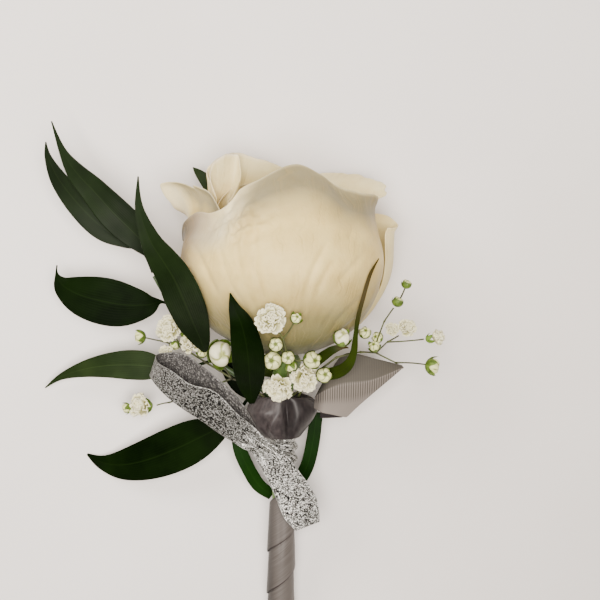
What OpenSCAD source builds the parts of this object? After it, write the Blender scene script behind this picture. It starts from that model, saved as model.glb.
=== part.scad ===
// A buttonhole that pins to a lapel: one white rose with dark leaves, sprigs of
// baby's breath, a wound grey ribbon and a silver ribbon tied over it.
// Lengths are in millimetres. It lies on its back on the plane z = 0, with the
// bloom toward +y, and z points up to the eye.

/* [Eye] */
// Height of the eye over the table
eye_height = 400; // [300:10:800]
// Height at which the plan sizes in the tables are true
true_height = 20; // [0:1:40]

/* [Bloom] */
// Sideways place of the bloom's middle
bloom_x = -4; // [-20:0.1:20]
// Lengthwise place of the bloom's middle
bloom_y = 9.4; // [0:0.1:30]
// Height of the bloom's middle
bloom_z = 24.4; // [20:0.1:35]
// Slope of the rose from its stem's end up to its bloom, degrees
rose_slope = 11.8; // [0:0.1:30]
// Petal thickness at its foot
petal_wall = 0.7; // [0.5:0.05:1.5]
// Petal thickness at its rim
rim_wall = 0.45; // [0.3:0.05:1]
// Radius of the tight bud in the middle
core_r = 11.8; // [8:0.1:16]
// Radius of the innermost closed petal
inner_r = 13.3; // [10:0.1:18]
// Step outward from one closed petal to the next
inner_step = 1.45; // [1:0.05:2]

/* [Stem] */
// Radius of the rose's stem
stem_r = 2.5; // [2:0.1:4]
// Length of the stem below the bloom
stem_length = 82; // [40:1:120]
// Turn of the stem to the left as it goes down, degrees
stem_turn = 0.9; // [-5:0.1:5]
// Radius of the hip under the bloom
hip_r = 4.3; // [3:0.1:7]

/* [Leaves] */
// Leaf thickness along the midrib
leaf_wall = 0.7; // [0.4:0.05:1.5]
// Leaf thickness at its edges
leaf_edge = 0.35; // [0.2:0.05:1]

/* [Ribbons] */
// Thickness of the tied ribbons
ribbon_wall = 1; // [0.5:0.1:2]
// Rise of the gathered turn's front lip toward the bloom
collar_lip = 1.0; // [0:0.1:4]
// Thickness of the wound ribbon
wound_wall = 0.4; // [0.2:0.05:1]
// Width of the wound ribbon
wound_width = 13.5; // [8:0.5:20]
// Distance from one turn of the wound ribbon to the next
wound_pitch = 10; // [6:0.5:16]
// Inner radius of the wound ribbon
wound_r = 2.95; // [2:0.05:5]
// Outer radius of the silver turn round the stem
band_r = 3.9; // [3:0.1:8]

/* [Pin] */
// Radius of the pin's shaft
pin_r = 0.4; // [0.3:0.05:0.8]
// Length of the pin's shaft
pin_length = 19; // [15:1:50]
// Radius of the pin's head
pin_head_r = 1.1; // [0.8:0.1:3]

/* [Hidden] */
// Moves the whole piece so that its box stands over the origin
shift = [15.59, 24.28, -0.44];
bloom_mid = [bloom_x, bloom_y, bloom_z];
bloom_depth = 23;
axis_up = [0, cos(rose_slope), sin(rose_slope)];
stem_top = bloom_mid - axis_up * (bloom_depth - 0.6);
fold_steps = 6;

// Plain sums on points and rows
function mix(a, b, t) = a + (b - a) * t;
function unit(v) = v / max(norm(v), 1e-9);
function flat(rows) = [for (row = rows) for (p = row) p];
function ease(t) = let (c = min(max(t, 0), 1)) c * c * (3 - 2 * c);
function turn_slope(p) = [p[0], p[1] * cos(rose_slope) - p[2] * sin(rose_slope),
    p[1] * sin(rose_slope) + p[2] * cos(rose_slope)];
function level_slope(p) = [p[0], p[1] * cos(rose_slope) + p[2] * sin(rose_slope),
    -p[1] * sin(rose_slope) + p[2] * cos(rose_slope)];

// A plan point taken at the true height, drawn in or out to where it lies at height z
function seen(x, y, z) = let (k = (eye_height - z) / (eye_height - true_height)) [x * k, y * k, z];

// A smooth run through the rows of a table, t from 0 to 1
function run(rows, t) =
    let (n = len(rows) - 1, s = min(max(t, 0), 1) * n, i = min(floor(s), n - 1), f = s - i,
        a = rows[max(i - 1, 0)], b = rows[i], c = rows[i + 1], d = rows[min(i + 2, n)])
    0.5 * (2 * b + (c - a) * f + (2 * a - 5 * b + 4 * c - d) * f * f + (3 * b - a - 3 * c + d) * f * f * f);

// Normals of a grid of points, and the grid moved along them by a thickness a row
function grid_normal(g, i, j) =
    let (n = len(g) - 1, m = len(g[0]) - 1,
        u = g[min(i + 1, n)][j] - g[max(i - 1, 0)][j],
        v = g[i][min(j + 1, m)] - g[i][max(j - 1, 0)])
    unit(cross(u, v));
function grid_moved(g, wall) =
    [for (i = [0:len(g) - 1]) [for (j = [0:len(g[0]) - 1]) g[i][j] - grid_normal(g, i, j) * wall(i, j)]];

// A closed sheet between two grids of the same size, the first one on the outer face
module sheet(outer, inner) {
    n = len(outer);
    m = len(outer[0]);
    k = n * m;
    function at(i, j) = i * m + j;
    polyhedron(points = concat(flat(outer), flat(inner)), faces = concat(
        [for (i = [0:n - 2]) for (j = [0:m - 2]) for (f = [
            [at(i, j), at(i, j + 1), at(i + 1, j + 1)], [at(i, j), at(i + 1, j + 1), at(i + 1, j)],
            [k + at(i, j), k + at(i + 1, j + 1), k + at(i, j + 1)],
            [k + at(i, j), k + at(i + 1, j), k + at(i + 1, j + 1)]]) f],
        [for (i = [0:n - 2]) for (f = [
            [at(i, 0), at(i + 1, 0), k + at(i + 1, 0)], [at(i, 0), k + at(i + 1, 0), k + at(i, 0)],
            [at(i, m - 1), k + at(i + 1, m - 1), at(i + 1, m - 1)],
            [at(i, m - 1), k + at(i, m - 1), k + at(i + 1, m - 1)]]) f],
        [for (j = [0:m - 2]) for (f = [
            [at(0, j), k + at(0, j + 1), at(0, j + 1)], [at(0, j), k + at(0, j), k + at(0, j + 1)],
            [at(n - 1, j), at(n - 1, j + 1), k + at(n - 1, j + 1)],
            [at(n - 1, j), k + at(n - 1, j + 1), k + at(n - 1, j)]]) f]));
}

// A closed ring wall between two grids that run right round, first row to last row open
module ring_wall(outer, inner) {
    n = len(outer);
    m = len(outer[0]);
    k = n * m;
    function at(i, j) = i * m + j % m;
    polyhedron(points = concat(flat(outer), flat(inner)), faces = concat(
        [for (i = [0:n - 2]) for (j = [0:m - 1]) for (f = [
            [at(i, j), at(i, j + 1), at(i + 1, j + 1)], [at(i, j), at(i + 1, j + 1), at(i + 1, j)],
            [k + at(i, j), k + at(i + 1, j + 1), k + at(i, j + 1)],
            [k + at(i, j), k + at(i + 1, j), k + at(i + 1, j + 1)]]) f],
        [for (j = [0:m - 1]) for (f = [
            [at(0, j), k + at(0, j + 1), at(0, j + 1)], [at(0, j), k + at(0, j), k + at(0, j + 1)],
            [at(n - 1, j), at(n - 1, j + 1), k + at(n - 1, j + 1)],
            [at(n - 1, j), k + at(n - 1, j + 1), k + at(n - 1, j)]]) f]));
}

// A closed body of rings between two poles
module ringed(rings, first, last) {
    n = len(rings);
    m = len(rings[0]);
    function at(i, j) = 1 + i * m + j % m;
    polyhedron(points = concat([first], flat(rings), [last]), faces = concat(
        [for (j = [0:m - 1]) [0, at(0, j), at(0, j + 1)]],
        [for (i = [0:n - 2]) for (j = [0:m - 1]) for (f = [
            [at(i, j), at(i + 1, j), at(i + 1, j + 1)], [at(i, j), at(i + 1, j + 1), at(i, j + 1)]]) f],
        [for (j = [0:m - 1]) [1 + n * m, at(n - 1, j + 1), at(n - 1, j)]]));
}

// Petals
// Columns: side, the bearing round the bloom in degrees where the petal is widest; body, the
// radius there; rim_x, rim_y, rim_z, the rim from the bloom's middle; curl, the rim's lean outward
front_rows = [
    [-3, 24.3, 22.8, 15.0, 1.0, 10],
    [14, 24.9, 22.4, 16.3, 4.5, 15],
    [36, 24.9, 18.2, 16.4, 10, -20],
    [55, 24.9, 12.1, 17.8, 13, -45],
    [72, 24.9, 8.0, 20.4, 13, -66],
    [88, 24.9, 2.3, 22.7, 12, -72],
    [106, 24.9, -5.0, 19.1, 15, -60],
    [122, 24.9, -9.3, 17.1, 16, -42],
    [136, 25.0, -13.1, 13.1, 16, -15],
    [150, 25.2, -16.8, 11.6, 13, 10],
    [166, 25.4, -20.6, 11.9, 9, 15],
    [180, 25.4, -24.2, 9.7, 4, 10],
    [196, 25.0, -25.0, 5.5, -5, 0]];
left_rows = [
    [124, 22.6, -8.8, 11.0, 17.0, -10],
    [138, 22.6, -14.2, 13.0, 12.0, 5],
    [152, 22.4, -18.2, 17.2, 5.5, 35],
    [163, 22.4, -22.4, 19.0, 3, 60],
    [172, 22.4, -27.2, 19.8, 1.5, 75],
    [181, 22.4, -30.6, 19.2, 0, 85],
    [191, 22.4, -27.6, 13.9, -3.5, 75],
    [203, 22.3, -23.4, 12.5, -7, 30],
    [216, 22.2, -19.4, 9.5, -11.5, 0]];
back_left_rows = [
    [168, 20.2, -17.0, 18.0, 3.0, 0],
    [184, 20.2, -18.9, 22.9, 1, 5],
    [200, 20.2, -15.4, 26.3, -1, 0],
    [218, 20.2, -11.7, 27.6, -4, -5],
    [238, 20.2, -6.2, 26.2, -7, -5],
    [256, 20.2, -0.4, 24.8, -9, -5],
    [272, 20.2, 5.3, 23.0, -11.5, -5],
    [288, 20.2, 9.0, 19.0, -14, -5]];
back_right_rows = [
    [250, 21.5, -2.0, 19.5, -17, 0],
    [268, 21.5, 3.5, 22.8, -19, 20],
    [285, 21.5, 8.4, 23.9, -20, 45],
    [303, 21.5, 16.6, 23.4, -16, 70],
    [324, 21.5, 24.8, 20.2, -9, 85],
    [340, 21.5, 25.1, 18.0, -4, 75],
    [354, 21.5, 21.0, 15.4, -2.6, 30],
    [368, 21.5, 18.8, 11.5, 4.0, 0]];
under_rows = [
    [186, 23.7, -23.4, 3.6, -3, 0],
    [202, 23.8, -22.4, 6.5, -10, 5],
    [222, 24.0, -17.0, 13.5, -17.5, 15],
    [240, 24.2, -11.5, 15.5, -21.5, 12],
    [256, 24.2, -5.5, 16.0, -22.8, 10],
    [272, 23.6, 0.5, 15.0, -22.6, 5],
    [288, 23.2, 6.5, 13.0, -21.5, 0],
    [302, 22.9, 11.5, 10.0, -19, 0]];
right_rows = [
    [279, 24.4, 3.8, 8.0, -23.2, 0],
    [294, 25.4, 10.5, 11.0, -22.0, 5],
    [312, 27.2, 18.2, 13.0, -18.0, 10],
    [330, 28.8, 24.8, 12.5, -11.5, 15],
    [342, 28.9, 27.8, 9.8, -6.0, 5],
    [350, 27.4, 26.8, 8.8, -3.4, 0],
    [356, 25.4, 25.1, 8.6, -1.8, 0]];

// One column of a petal, from its foot (v = 0) over its widest part (v = 0.5) to its rim (v = 1)
function petal_point(row, middle, depth, v) =
    v < 0.5 ?
        let (a = mix(15, 90, v * 2), s = mix(middle, row[0], mix(0.8, 1, v * 2)),
            r = row[1] * sin(a))
        [r * cos(s), -depth * cos(a), r * sin(s)]
    :
        let (t = v * 2 - 1, rim = level_slope([row[2], row[3], row[4]]),
            foot = [row[1] * cos(row[0]), 0, row[1] * sin(row[0])],
            out = unit([rim[0], 0, rim[2]]), rise = rim[1],
            b = foot + [0, rise * 0.45, 0],
            c = rim - (out * sin(row[5]) + [0, cos(row[5]), 0]) * rise * 0.4)
        foot * pow(1 - t, 3) + b * 3 * t * pow(1 - t, 2) + c * 3 * t * t * (1 - t) + rim * pow(t, 3);

module petal(rows, depth, across, along) {
    middle = (rows[0][0] + rows[len(rows) - 1][0]) / 2;
    outer = [for (i = [0:along]) [for (j = [0:across])
        bloom_mid + turn_slope(petal_point(run(rows, j / across), middle, depth, i / along))]];
    wall = function (i, j) mix(petal_wall, rim_wall, i / along);
    sheet(outer, grid_moved(outer, wall));
}

// A closed inner petal, a row for each bearing from one side to the other
function inner_rows(bearing, spread, r) = [for (k = [-3:3])
    let (s = bearing + spread * k / 3, top = r * (0.95 - 0.28 * pow(k / 3, 2)),
        w = r * (0.62 + 0.28 * pow(k / 3, 2)))
    concat([s, r], level_back([w * cos(s), top, w * sin(s)]), [-50])];
function level_back(p) = turn_slope(p);

module petal_front() color([0.96, 0.93, 0.85]) petal(front_rows, bloom_depth, 18, 12);
module petal_left() color([0.96, 0.93, 0.85]) petal(left_rows, bloom_depth - 1.8, 10, 11);
module petal_back_left() color([0.96, 0.93, 0.85]) petal(back_left_rows, bloom_depth - 3.6, 10, 10);
module petal_back_right() color([0.96, 0.93, 0.85]) petal(back_right_rows, bloom_depth - 2.7, 10, 11);
module petal_under() color([0.96, 0.93, 0.85]) petal(under_rows, bloom_depth - 0.9, 9, 10);
module petal_right() color([0.96, 0.93, 0.85]) petal(right_rows, bloom_depth + 1.2, 8, 10);
module petal_inner(k, bearing) color([0.95, 0.91, 0.8])
    petal(inner_rows(bearing, 78, inner_r + inner_step * k), 13.6 + 1.45 * k, 8, 6);
module petal_inner_1() petal_inner(0, 30);
module petal_inner_2() petal_inner(1, 168);
module petal_inner_3() petal_inner(2, 305);
module petal_inner_4() petal_inner(3, 82);

// The tight bud, with a ridge that winds to its top
module rose_core() color([0.94, 0.9, 0.76]) {
    rings = [for (i = [1:7]) let (a = 180 * i / 8)
        [for (j = [0:11]) let (s = -360 * j / 12,
            ridge = 1 - 0.1 * ease((i - 3) / 4) * (((i * 40 - s) % 120) / 120),
            r = core_r * sin(a) * ridge)
            bloom_mid + turn_slope([r * cos(s), -core_r * 0.97 * cos(a), r * sin(s)])]];
    ringed(rings, bloom_mid - axis_up * core_r * 0.97, bloom_mid + axis_up * core_r * 0.9);
}

// Stem frame: x to the right, y to the front and z down the stem from the bloom's foot
module on_stem() translate(stem_top) rotate([90 + rose_slope, 0, 0]) rotate([0, -stem_turn, 0]) children();
function stem_point(x, y, s) =
    let (a = x * cos(stem_turn) - s * sin(stem_turn), b = x * sin(stem_turn) + s * cos(stem_turn))
    stem_top + [a, -b * cos(rose_slope) - y * sin(rose_slope), -b * sin(rose_slope) + y * cos(rose_slope)];

module rose_stem() color([0.42, 0.55, 0.25]) on_stem() {
    rotate_extrude($fn = 48) polygon([[0, 0.6], [hip_r * 0.75, 0.6], [hip_r, 2.6], [hip_r * 0.96, 5],
        [hip_r * 0.75, 7.5], [stem_r, 10], [stem_r, stem_length], [0, stem_length]]);
}

// Leaves
// Columns: x and y in plan, z the height, half the width, lift of the right-hand edge per width
leaf_top_front_rows = [
    [-62.2, 44.8, 21, 0.1, 0], [-59.5, 37.5, 22.5, 0.9, 0], [-56.2, 32.2, 23.5, 2.3, 0],
    [-51.8, 27.5, 24, 3.3, 0.1], [-46.8, 22, 24, 4.1, 0.1], [-42.5, 17.8, 23, 4, 0.1],
    [-38, 13, 21.5, 2.4, 0], [-36, 9.4, 20.3, 0.4, 0],
    [-36.3, 6.5, 19.9, 0.35, 0]];
leaf_top_back_rows = [
    [-63.6, 39.6, 17, 0.1, 0], [-63, 35.7, 17.5, 0.9, 0], [-60.2, 30, 18.5, 2.2, 0],
    [-55, 23.5, 19, 3.1, 0], [-49.2, 18, 18.5, 3.2, 0], [-43.5, 14.8, 17.8, 1.9, 0],
    [-39.5, 12.4, 17.2, 0.4, 0], [-36.8, 6.8, 17.6, 0.35, 0]];
leaf_bloom_rows = [
    [-40.5, 31, 36, 0.1, 0], [-40.3, 23.2, 37, 1, 0.1], [-37.5, 15, 37.5, 2.5, 0.3],
    [-34.4, 10, 37, 3.6, 0.5], [-31.6, 5.5, 36.8, 4.4, 0.75], [-29.1, 0, 36, 4.8, 0.95],
    [-26.8, -5.5, 33, 4.2, 0.85], [-24.5, -10.8, 27.5, 2.1, 0.4], [-23.8, -13.2, 24, 0.4, 0]];
leaf_left_high_rows = [
    [-60.8, 8.8, 11, 0.1, 0], [-60.8, 6.3, 12, 0.5, 0], [-59.2, 3.6, 13, 2.8, 0],
    [-55, 1.3, 13.5, 5, 0], [-49.5, -0.2, 13.8, 6, 0], [-43.8, -1.2, 14, 5.5, 0],
    [-38, -1.2, 14.4, 3.1, 0], [-35, -0.4, 15.2, 0.5, 0],
    [-32.4, -1.3, 16.4, 0.35, 0]];
leaf_left_low_rows = [
    [-63.8, -22, 4, 0.1, 0], [-60, -19.3, 5.5, 0.8, 0], [-54.5, -17.4, 7.5, 2, 0],
    [-48.5, -16.4, 9.2, 3.1, 0], [-42.3, -16.2, 10.3, 3.8, 0], [-37, -16.6, 11, 3.3, 0],
    [-32.8, -17.4, 11.5, 0.6, 0], [-27.6, -16.8, 12.7, 0.4, 0], [-22.2, -15.2, 13.9, 0.35, 0]];
leaf_bottom_rows = [
    [-53.3, -38.5, 1.0, 0.2, 0], [-49.5, -40.6, 2.4, 1.9, 0], [-44.5, -41.2, 4.8, 3.9, 0],
    [-38.5, -40, 7.2, 5.2, 0], [-32, -37.6, 9.2, 5.8, 0], [-26, -34.8, 10.8, 5.3, 0],
    [-20.5, -32, 12, 3.2, 0], [-16.6, -29.4, 12.8, 0.5, 0],
    [-14.3, -26.4, 13.7, 0.4, 0], [-11.6, -22.6, 14.7, 0.35, 0]];
leaf_centre_rows = [
    [-17.5, 1.8, 47.2, 0.1, 0], [-16.4, -2, 47.6, 1.4, 0.1], [-14.5, -6.5, 46.5, 2.9, 0.2],
    [-13.2, -12.5, 42.5, 3.8, 0.2], [-12.7, -18, 36.5, 3.8, 0.15], [-12.4, -22, 31, 2.8, 0.1],
    [-12, -26, 26.5, 0.6, 0]];
leaf_behind_rows = [
    [-26.8, 33.2, 9, 0.1, 0], [-25.6, 32, 9.5, 0.9, 0], [-23.2, 29.6, 9.5, 1.8, 0],
    [-20.5, 26.2, 9, 2.2, 0], [-18, 22, 7.5, 1.2, 0], [-17, 20, 6.5, 0.4, 0]];

leaf_neck_rows = [
    [-11.2, -25.8, 12, 0.35, 0], [-12.8, -23.9, 11.6, 1.1, 0], [-15, -21.3, 11.2, 2.2, 0],
    [-17.4, -17.4, 11.6, 2.2, 0], [-19.2, -13.4, 12, 1.1, 0], [-20, -11, 12.4, 0.1, 0]];

// A leaf blade: its middle line runs through the rows, folded up along the midrib
module leaf(rows, along, fold, wall, edge) {
    top = [for (i = [0:along]) let (t = i / along, a = run(rows, t), b = run(rows, min(t + 0.02, 1)),
            c = run(rows, max(t - 0.02, 0)),
            p = seen(a[0], a[1], a[2]), d = seen(b[0], b[1], b[2]) - seen(c[0], c[1], c[2]),
            w = unit([-d[1], d[0], 0]), h = max(a[3], 0.15))
        [for (j = [-2:2]) let (s = j / 2)
            p + w * h * s + [0, 0, h * (s * a[4] + (abs(s) + 0.25 * cos(s * 180)) * fold)]]];
    thick = function (i, j) mix(wall, edge, abs(j - 2) / 2) * mix(0.6, 1, min(1, min(i, along - i) / 2));
    sheet(top, grid_moved(top, thick));
}
module dark_leaf(rows) color([0.07, 0.2, 0.07]) leaf(rows, 11, 0.18, leaf_wall, leaf_edge);
module leaf_top_front() dark_leaf(leaf_top_front_rows);
module leaf_top_back() dark_leaf(leaf_top_back_rows);
module leaf_bloom() dark_leaf(leaf_bloom_rows);
module leaf_left_high() dark_leaf(leaf_left_high_rows);
module leaf_left_low() dark_leaf(leaf_left_low_rows);
module leaf_bottom() dark_leaf(leaf_bottom_rows);
module leaf_centre() dark_leaf(leaf_centre_rows);
module leaf_behind() dark_leaf(leaf_behind_rows);
module leaf_neck() color([0.07, 0.2, 0.07]) leaf(leaf_neck_rows, 8, 0.18, leaf_wall, leaf_edge);

// Sepals, rows as a leaf's
sepal_right_rows = [
    [5.5, -18.6, 27.5, 1.8, 0], [9, -18.2, 29.5, 2, 0], [11.9, -16.4, 32, 1.7, 0],
    [13.4, -13.2, 34.5, 1.1, 0], [13.9, -9, 37, 0.8, 0], [14.5, -4.5, 39, 0.7, 0],
    [15.8, 0.5, 40.2, 0.65, 0], [17.6, 6.5, 40, 0.55, 0], [19.8, 10.5, 38.4, 0.12, 0]];
sepal_front_rows = [
    [2.4, -16.8, 29.8, 1.6, 0], [5.2, -14.5, 32.4, 1.6, 0], [8, -12.6, 34.5, 1.3, 0],
    [10.6, -11.8, 34.8, 0.7, 0], [12.2, -12, 34.2, 0.12, 0]];
sepal_left_rows = [
    [-6.8, -18.2, 24, 1.5, 0], [-9.6, -17.6, 24.6, 1.7, 0], [-13.2, -16.2, 24.6, 1.3, 0],
    [-16.5, -14, 24, 0.8, 0], [-19, -11.6, 23.2, 0.12, 0]];
module sepal(rows) color([0.3, 0.45, 0.12]) leaf(rows, 9, -0.25, 0.8, 0.4);
module sepal_right() sepal(sepal_right_rows);
module sepal_front() sepal(sepal_front_rows);
module sepal_left() sepal(sepal_left_rows);

// Two strap leaves tucked behind the stem, rows as a leaf's
blade_left_rows = [
    [-15.6, -34.4, 12.6, 1.6, 0], [-14.8, -38, 12.2, 1.75, 0], [-13, -42, 11.2, 1.75, 0],
    [-10.4, -46.2, 9.4, 1.75, 0], [-6.9, -48.8, 7.9, 1.4, 0]];
blade_right_rows = [
    [-5.2, -48.9, 7.7, 1.4, 0], [-3, -48.2, 7.7, 1.7, 0], [-0.6, -45.6, 8.2, 1.75, 0],
    [1.8, -41.4, 9.4, 1.75, 0], [3.2, -35.5, 10.6, 1.75, 0], [4.2, -28, 11.6, 1.6, 0]];
module blade(rows) color([0.1, 0.3, 0.1]) leaf(rows, 8, 0.12, 0.7, 0.4);
module blade_left() blade(blade_left_rows);
module blade_right() blade(blade_right_rows);

// A tube through plan points, tapered to its end
module twig(rows, sides, along) {
    rings = [for (i = [0:along]) let (t = i / along, a = run(rows, t), b = run(rows, min(t + 0.02, 1)),
            c = run(rows, max(t - 0.02, 0)), p = seen(a[0], a[1], a[2]),
            d = unit(seen(b[0], b[1], b[2]) - seen(c[0], c[1], c[2])),
            u = unit(cross(d, [0, 0, 1])), w = cross(u, d))
        [for (j = [0:sides - 1]) let (s = 360 * j / sides) p + (u * cos(s) - w * sin(s)) * a[3]]];
    a = rows[0];
    b = rows[len(rows) - 1];
    ringed(rings, seen(a[0], a[1], a[2]), seen(b[0], b[1], b[2]));
}
// Columns: x, y, z, radius
leaf_stem_rows = [
    [-7.3, -31, 14.2, 0.6], [-7.4, -27, 15.2, 0.65], [-8.1, -23.6, 16, 0.7], [-11, -21.4, 15.8, 0.75],
    [-15.5, -19, 15, 0.75],
    [-21.5, -14.5, 15, 0.75], [-27, -8, 16.2, 0.7], [-32, -1.5, 17.4, 0.6], [-36.5, 6, 18.6, 0.5]];
module leaf_stem() color([0.16, 0.3, 0.1]) twig(leaf_stem_rows, 6, 12);

// Baby's breath
// A thin straight stalk between two plan points, and a small round bud
module stalk(a, b, r) hull() {
    translate(seen(a[0], a[1], a[2])) octa(r);
    translate(seen(b[0], b[1], b[2])) octa(r);
}
module octa(r) polyhedron(points = [[r, 0, 0], [0, r, 0], [-r, 0, 0], [0, -r, 0], [0, 0, r], [0, 0, -r]],
    faces = [[1, 0, 4], [2, 1, 4], [3, 2, 4], [0, 3, 4], [0, 1, 5], [1, 2, 5], [2, 3, 5], [3, 0, 5]]);
function ball_rings(p, r, sides, bands, ruffle) = [for (i = [1:bands - 1]) let (a = 180 * i / bands)
    [for (j = [0:sides - 1]) let (s = 360 * j / sides,
        q = r * (1 + ruffle * (j % 2 == i % 2 ? 1 : -1) * sin(a)))
        p + [q * sin(a) * cos(s), q * sin(a) * sin(s), -q * cos(a)]]];
module ball(p, r, sides, bands, ruffle) {
    q = seen(p[0], p[1], p[2]);
    ringed(ball_rings(q, r, sides, bands, ruffle), q - [0, 0, r], q + [0, 0, r]);
}
module sprig(stalks, buds) color([0.45, 0.52, 0.3]) {
    for (s = stalks) stalk([s[0], s[1], s[2]], [s[3], s[4], s[5]], s[6]);
    for (b = buds) ball([b[0], b[1], b[2]], b[3], 7, 4, 0);
}
// Stalk columns: x, y, z of one end, x, y, z of the other, radius
right_stalks = [
    [-0.9, -27, 19.4, -0.5, -24.3, 20.4, 0.4], [-0.5, -24.3, 20.4, 4, -18, 27.2, 0.4], [4, -18, 27.2, 9, -14.4, 29.8, 0.4],
    [9, -14.4, 29.8, 15, -13, 28.6, 0.35], [15, -13, 28.6, 19, -13.2, 26.6, 0.35],
    [19, -13.2, 26.6, 24, -15.7, 26, 0.3], [24, -15.7, 26, 31.8, -16.2, 25, 0.3],
    [19, -13.2, 26.6, 21.8, -10.5, 26.4, 0.3], [21.8, -10.5, 26.4, 31, -9.8, 25.2, 0.3],
    [21.8, -10.5, 26.4, 24.7, -8.9, 25.8, 0.3], [18.2, -13.2, 27, 21, -5.5, 31.5, 0.3],
    [21, -5.5, 31.5, 23.4, -2, 31, 0.3], [24.6, -0.4, 30.6, 26.4, 3.4, 30, 0.3]];
right_buds = [[33.2, -16.5, 24.8, 1.7], [18.6, -11.6, 28.4, 1.5], [24.4, -0.4, 30.8, 1.6], [26.6, 4, 30, 1.3]];
centre_stalks = [
    [-2.4, -27, 19.9, -2.4, -24.3, 20.8, 0.4], [-2.4, -24.3, 20.8, -3, -19.5, 29.5, 0.4], [-3, -19.5, 29.5, -3.2, -15.2, 34.2, 0.4],
    [-3.2, -15.2, 34.2, -6.6, -15.2, 36.8, 0.35], [-3.2, -15.2, 34.2, -3, -14.4, 37.4, 0.35],
    [-3, -14.4, 37.4, -5.6, -11.4, 40.4, 0.35], [-3, -14.4, 37.4, -4.2, -9.6, 44.2, 0.35],
    [-4.2, -9.6, 44.2, -1.2, -5, 48, 0.3], [-4.2, -9.6, 44.2, -5.6, -7.8, 45.6, 0.3],
    [-3.2, -15.2, 34.2, 1.6, -15.1, 35.4, 0.35], [-2.4, -24.3, 20.8, 5.4, -19.4, 30.8, 0.35]];
centre_buds = [[-6.8, -15.2, 38, 2.1], [-3, -14.4, 39, 1.5], [-6, -11.2, 41.6, 1.5], [3, -15, 36, 2],
    [6, -18.8, 32.6, 1.8], [-1, -4.6, 48.6, 1.4]];
left_stalks = [
    [-6.8, -26.5, 19.6, -11, -22.6, 18.4, 0.4], [-11, -22.6, 18.4, -17, -19.6, 17.4, 0.4],
    [-17, -19.6, 17.4, -23.6, -15.6, 16.6, 0.4], [-23.6, -15.6, 16.6, -29, -12, 15.4, 0.35],
    [-29, -12, 15.4, -34, -10.4, 14.8, 0.35], [-34, -10.4, 14.8, -39.2, -9.3, 15.2, 0.3],
    [-17, -19.6, 17.4, -26, -23.2, 15, 0.35], [-26, -23.2, 15, -32.6, -25.6, 12, 0.35],
    [-32.6, -25.6, 12, -35.8, -26.3, 11, 0.3], [-17, -19.6, 17.4, -19.2, -16.4, 25.2, 0.35],
    [-29, -12, 15.4, -31.2, -9.4, 17, 0.3]];
left_buds = [[-40, -9.2, 15.2, 1.3], [-31.4, -11.4, 16.3, 1]];
module sprig_right() sprig(right_stalks, right_buds);
module sprig_centre() sprig(centre_stalks, centre_buds);
module sprig_left() sprig(left_stalks, left_buds);

// Open blossoms. Columns: x, y, z, radius, depth of the ruffle
blossoms = [[-7.3, -4.8, 49.2, 3.1, 0.12], [1.2, -19.2, 32, 3.1, 0.12], [-5.4, -21.9, 30.8, 3.1, 0.12],
    [-32.8, -7.3, 18.9, 2.9, 0.12], [-33.4, -13.6, 18.2, 2, 0.12], [-39.8, -26.4, 10.5, 3.2, 0.12],
    [26.8, -7, 24.6, 2, 0.12], [33.8, -9.2, 24.6, 2.1, 0.12], [-20, -13.4, 28.6, 2.8, 0.04],
    [10.5, -9.4, 37.4, 1.9, 0.04], [-27.2, -11, 19.4, 2.3, 0.12], [23, -7.4, 24.4, 1.5, 0.04]];
module blossom(k) color([0.97, 0.97, 0.93]) let (b = blossoms[k]) ball([b[0], b[1], b[2]], b[3], 10, 5, b[4]);
module blossom_1() blossom(0);
module blossom_2() blossom(1);
module blossom_3() blossom(2);
module blossom_4() blossom(3);
module blossom_5() blossom(4);
module blossom_6() blossom(5);
module blossom_7() blossom(6);
module blossom_8() blossom(7);
module blossom_9() blossom(8);
module blossom_10() blossom(9);
module blossom_11() blossom(10);
module blossom_12() blossom(11);

// Ribbons
// The grey ribbon wound round the stem, each turn lapped over the next one's edge
wound_start = 29.4;
wound_turns = (stem_length - 3 - wound_start - wound_width) / wound_pitch;
wound_rise = 0.8;
wound_steps = round(wound_turns * 16);
function wound_grid(wall) = [for (i = [0:wound_steps]) let (s = 360 * wound_turns * i / wound_steps)
    [for (t = [1, 0]) let (r = wound_r + wound_rise * t + wall)
        stem_point(r * cos(s), r * sin(s), wound_start + wound_pitch * s / 360 + wound_width * t)]];
module stem_wrap() color([0.62, 0.58, 0.56]) sheet(wound_grid(0), wound_grid(wound_wall));

// The gathered turn over the stems
// Columns: distance down the stem, reach to the left, reach to the right, depth, pleats
collar_rows = [[12.4, 6.6, 7, 5.9, 0.1], [14.2, 8.6, 8.8, 6.4, 0.7], [16.6, 9.2, 8.2, 6.8, 0.9],
    [19, 8.6, 6.8, 6.4, 0.8], [20.8, 7.2, 5.4, 5.6, 0.5], [22, 5.8, 4.6, 4.8, 0.2]];
function collar_r(row, s, wall) = let (
        reach = cos(s) < 0 ? row[1] : row[2],
        oval = 1 / sqrt(pow(cos(s) / (reach - wall), 2) + pow(sin(s) / (row[3] - wall), 2)),
        cleft = 1.5 * row[4] * exp(-pow((s + 270) / 14, 2)))
    oval - cleft + row[4] * 0.35 * cos(s * 5 + 40);
function collar_grid(wall) = [for (i = [0:5]) let (row = run(collar_rows, i / 5))
    [for (j = [0:23]) let (s = -360 * j / 24, r = collar_r(row, s, wall),
        rise = collar_lip * pow(1 - i / 5, 2) * max(sin(s), 0))
        stem_point(r * cos(s), r * sin(s), row[0] - rise)]];
module collar() color([0.5, 0.46, 0.46]) ring_wall(collar_grid(0), collar_grid(ribbon_wall));

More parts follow.
